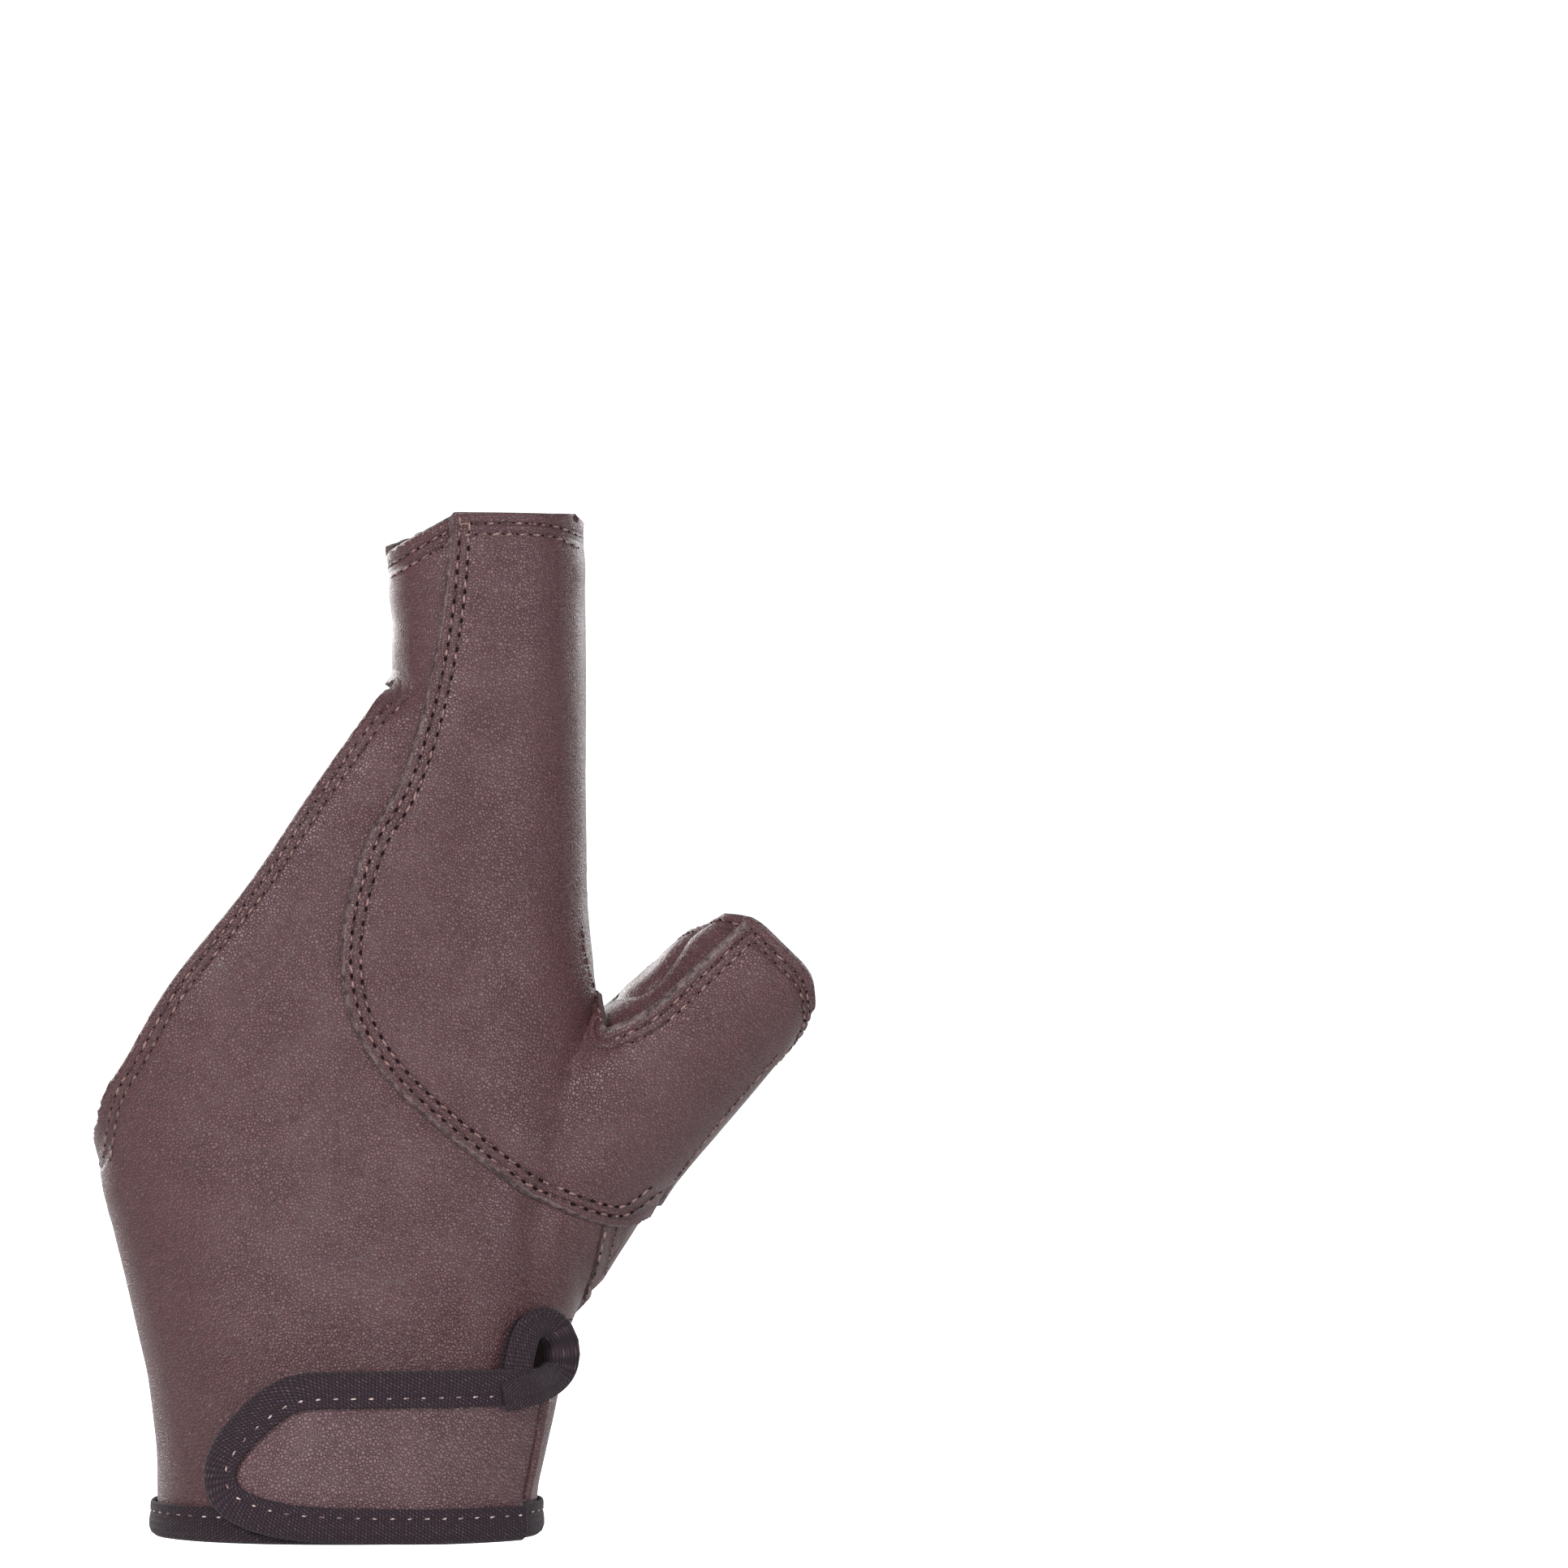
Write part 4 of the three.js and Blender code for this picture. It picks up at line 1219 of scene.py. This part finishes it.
def sew(bm, path, look, start=0.0):
    # Stitches of even length along a path of points and normals
    travelled, last, nextAt = 0.0, None, look["pitch"] * (0.5 + start)
    for place, normal in path:
        if last is not None:
            step = (place - last[0]).length
            if step > 0.006:
                last, nextAt = (place, normal), travelled + look["pitch"]
                continue
            while travelled + step >= nextAt and step > 1e-7:
                part = (nextAt - travelled) / step
                at = last[0].lerp(place, part)
                up = last[1].lerp(normal, part).normalized()
                along = (place - last[0]).normalized()
                across = up.cross(along).normalized()
                turn = Matrix((along, across, along.cross(across))).transposed().to_4x4()
                jitter = 1 + random.uniform(-0.08, 0.08)
                size = Matrix.Diagonal((look["length"] * jitter / 2, look["width"] / 2, look["height"] / 2, 1))
                lean = Matrix.Rotation(random.uniform(-0.12, 0.12) + 0.1, 4, "Z")
                addBead(bm, threadBead, Matrix.Translation(at + up * 0.00002) @ turn @ lean @ size)
                # A flat near-black disc beside each stitch: painted shade for the needle hole
                if look["hole"]:
                    hole = Matrix.Diagonal((look["hole"] / 2, look["hole"] * 0.3, 0.0001, 1))
                    addBead(bm, holeBead, Matrix.Translation(at + along * look["pitch"] / 2) @ turn @ hole)
                nextAt += look["pitch"]
            travelled += step
        last = (place, normal)


def sewRows(name, piece, node, rowList, paths=()):
    # rowList: line in X and Z, side, distances from the edge to its left, look
    tree = BVHTree.FromObject(piece, bpy.context.evaluated_depsgraph_get())
    bm = bmesh.new()
    for line, side, offsets, look in rowList:
        for i, offset in enumerate(offsets):
            sew(bm, laidOn(tree, shifted(line, offset), side), look, start=0.3 * i)
    for path in paths:
        sew(bm, path[8:-8], fine)
    return dress(toObject(name, bm, [thread, needleHoleShade]), node)


sewRows("back_stitches", backPanel, "back_panel", [
    (backDiagonal, -1, (0.0015, 0.0028), fine),
    (evenLine(fingerTop[:3], 20)[0], -1, (-0.0019, -0.0036), fine),
])
sewRows("overlay_stitches", overlayPanel, "index_thumb_panel", [
    (below(backSeam), -1, (0.0016, 0.0031), stitch),
    (topLine, -1, (-0.0019, -0.0036), fine),
    (webEdge, -1, (-0.0016, -0.0031), fine),
    (smoothLine([(0.361, 0.501), (0.353, 0.526), (0.3435, 0.552), (0.337, 0.574), (0.333, 0.6)]), -1, (0.0,), fine),
    (smoothLine([(0.612, 0.472), (0.575, 0.443), (0.52, 0.398), (0.465, 0.348)]), -1, (0.0, 0.0011), fine),
    (below(fingerSeam), 1, (0.0016, 0.0031), fine),
], rimRows["index_thumb_leather"])
sewRows("palm_stitches", palmPanel, "palm_panel", [
    (palmDiagonal, 1, (0.0015, 0.0028), fine),
    (shifted(thumbSeam, 0.0016) + [share(0.188, 0.588)], 1, (0.0,), fine),
    (shifted(thumbSeam, 0.0031) + [notchTip], 1, (0.0,), fine),
    (smoothLine([(0.203, 0.603), (0.202, 0.583), (0.204, 0.561), (0.206, 0.519), (0.205, 0.503), (0.207, 0.487),
                 (0.22, 0.471)]), 1, (0.0,), stitch),
    (smoothLine([(0.188, 0.589), (0.188, 0.547), (0.188, 0.523), (0.191, 0.503), (0.196, 0.484), (0.2, 0.465)]),
     1, (0.0,), stitch),
    (smoothLine([(0.222, 0.47), (0.236, 0.475), (0.261, 0.482), (0.278, 0.487), (0.31, 0.496)]), 1, (0.0,), fine),
    (evenLine(palmTop, 20)[0], 1, (-0.0019, -0.0036), fine),
    (evenLine(sideSeam, 20)[0], -1, (0.0011, 0.0026), fine),
    (elastic, 1, (0.0,), fine),
])
sewRows("thumb_stitches", thumbPanel, "thumb_panel", [], rimRows["thumb_leather"][:1])

# Pale dashes on the tapes
bm = bmesh.new()


def tapeRow(placeAt, columns, inward, offset):
    column = np.arange(columns)
    inward = np.full(columns, inward)
    places = placeAt(column, inward, np.full(columns, offset))
    outer = placeAt(column, inward, np.full(columns, offset + 0.001))
    return [(Vector(a), Vector(b - a).normalized()) for a, b in zip(places, outer)]


sew(bm, tapeRow(strapTapePlace, 240, 0.0038, 0.0022), tapeStitch)
hemRow = tapeRow(hemPlace, hemColumns, 0.0038, 0.0022)
sew(bm, [spot for spot in hemRow if spot[0].y < 0.007], tapeStitch)
tapeSewn = toObject("tape_stitches", bm, [tapeThread, needleHoleShade])
dress(tapeSewn, "strap_binding")
print("glove: stitches")


# Studio
studio = {"floor": -0.009, "back": 2.2, "radius": 0.6, "halfWidth": 6.0, "tone": srgb(246, 246, 247),
          "aim": (0.0, 0.0, 0.08)}
bm = bmesh.new()
profile = [Vector((-studio["halfWidth"], -5.0, studio["floor"]))]
for i in range(13):
    a = math.radians(90 * i / 12)
    profile.append(Vector((-studio["halfWidth"], studio["back"] + math.sin(a) * studio["radius"],
                           studio["floor"] + (1 - math.cos(a)) * studio["radius"])))
profile.append(profile[-1] + Vector((0, 0, 4.0)))
verts = [bm.verts.new(p) for p in profile]
edges = [bm.edges.new(pair) for pair in zip(verts, verts[1:])]
swept = bmesh.ops.extrude_edge_only(bm, edges=edges)["geom"]
bmesh.ops.translate(bm, verts=[v for v in swept if isinstance(v, bmesh.types.BMVert)],
                    vec=(2 * studio["halfWidth"], 0, 0))
bmesh.ops.recalc_face_normals(bm, faces=bm.faces[:])
paper, paperTree, paperShader = mottled("pale_paper", 3.0, studio["tone"], srgb(240, 240, 240))
seen = put(paperTree, "ShaderNodeLightPath").outputs["Is Camera Ray"]  # white to the camera, dim to the leather
paperTree.links.new(blend(paperTree, seen, (0, 0, 0, 1), (0.9, 0.9, 0.9, 1)), paperShader.inputs["Emission Color"])
paperShader.inputs["Emission Strength"].default_value = 1.0
sweep = toObject("paper_sweep", bm, [paper])

lights = [
    # name, place, size, power, tint
    ("key_left", (-0.7, -1.3, 0.65), 0.42, 16.0, (1.0, 0.985, 0.975)),
    ("key_right", (0.85, -1.2, 0.35), 0.4, 6.0, (0.98, 0.985, 1.0)),
    ("front_fill", (0.05, -2.0, 0.2), 1.0, 11.0, (1.0, 1.0, 1.0)),
    ("top_soft", (0.0, -0.6, 1.5), 0.8, 3.0, (1.0, 1.0, 1.0)),
    ("rear_key", (-0.75, 1.35, 0.5), 0.9, 17.0, (1.0, 0.99, 0.98)),
    ("rear_fill", (0.85, 1.35, 0.55), 0.9, 11.0, (1.0, 1.0, 1.0)),
]
for name, place, size, power, tint in lights:
    lamp = bpy.data.lights.new(name, "AREA")
    lamp.shape = "SQUARE"
    lamp.size = size
    lamp.energy = power
    lamp.color = tint
    lampObject = bpy.data.objects.new(name, lamp)
    bpy.context.scene.collection.objects.link(lampObject)
    lampObject.location = place
    lampObject.visible_camera = False
    lampObject.rotation_euler = (Vector(studio["aim"]) - Vector(place)).to_track_quat("-Z", "Y").to_euler()
world = bpy.data.worlds.new("studio_world")
world.use_nodes = True
world.node_tree.nodes["Background"].inputs[0].default_value = (1.0, 1.0, 1.0, 1)
worldTree = world.node_tree
skySeen = put(worldTree, "ShaderNodeLightPath").outputs["Is Camera Ray"]
worldTree.links.new(math2(worldTree, "ADD", times(worldTree, skySeen, 0.8), 0.2),
                    worldTree.nodes["Background"].inputs[1])
bpy.context.scene.world = world
bpy.context.scene.view_settings.view_transform = "Standard"

for skin in forms.values():
    skin.free()
print("glove: done")
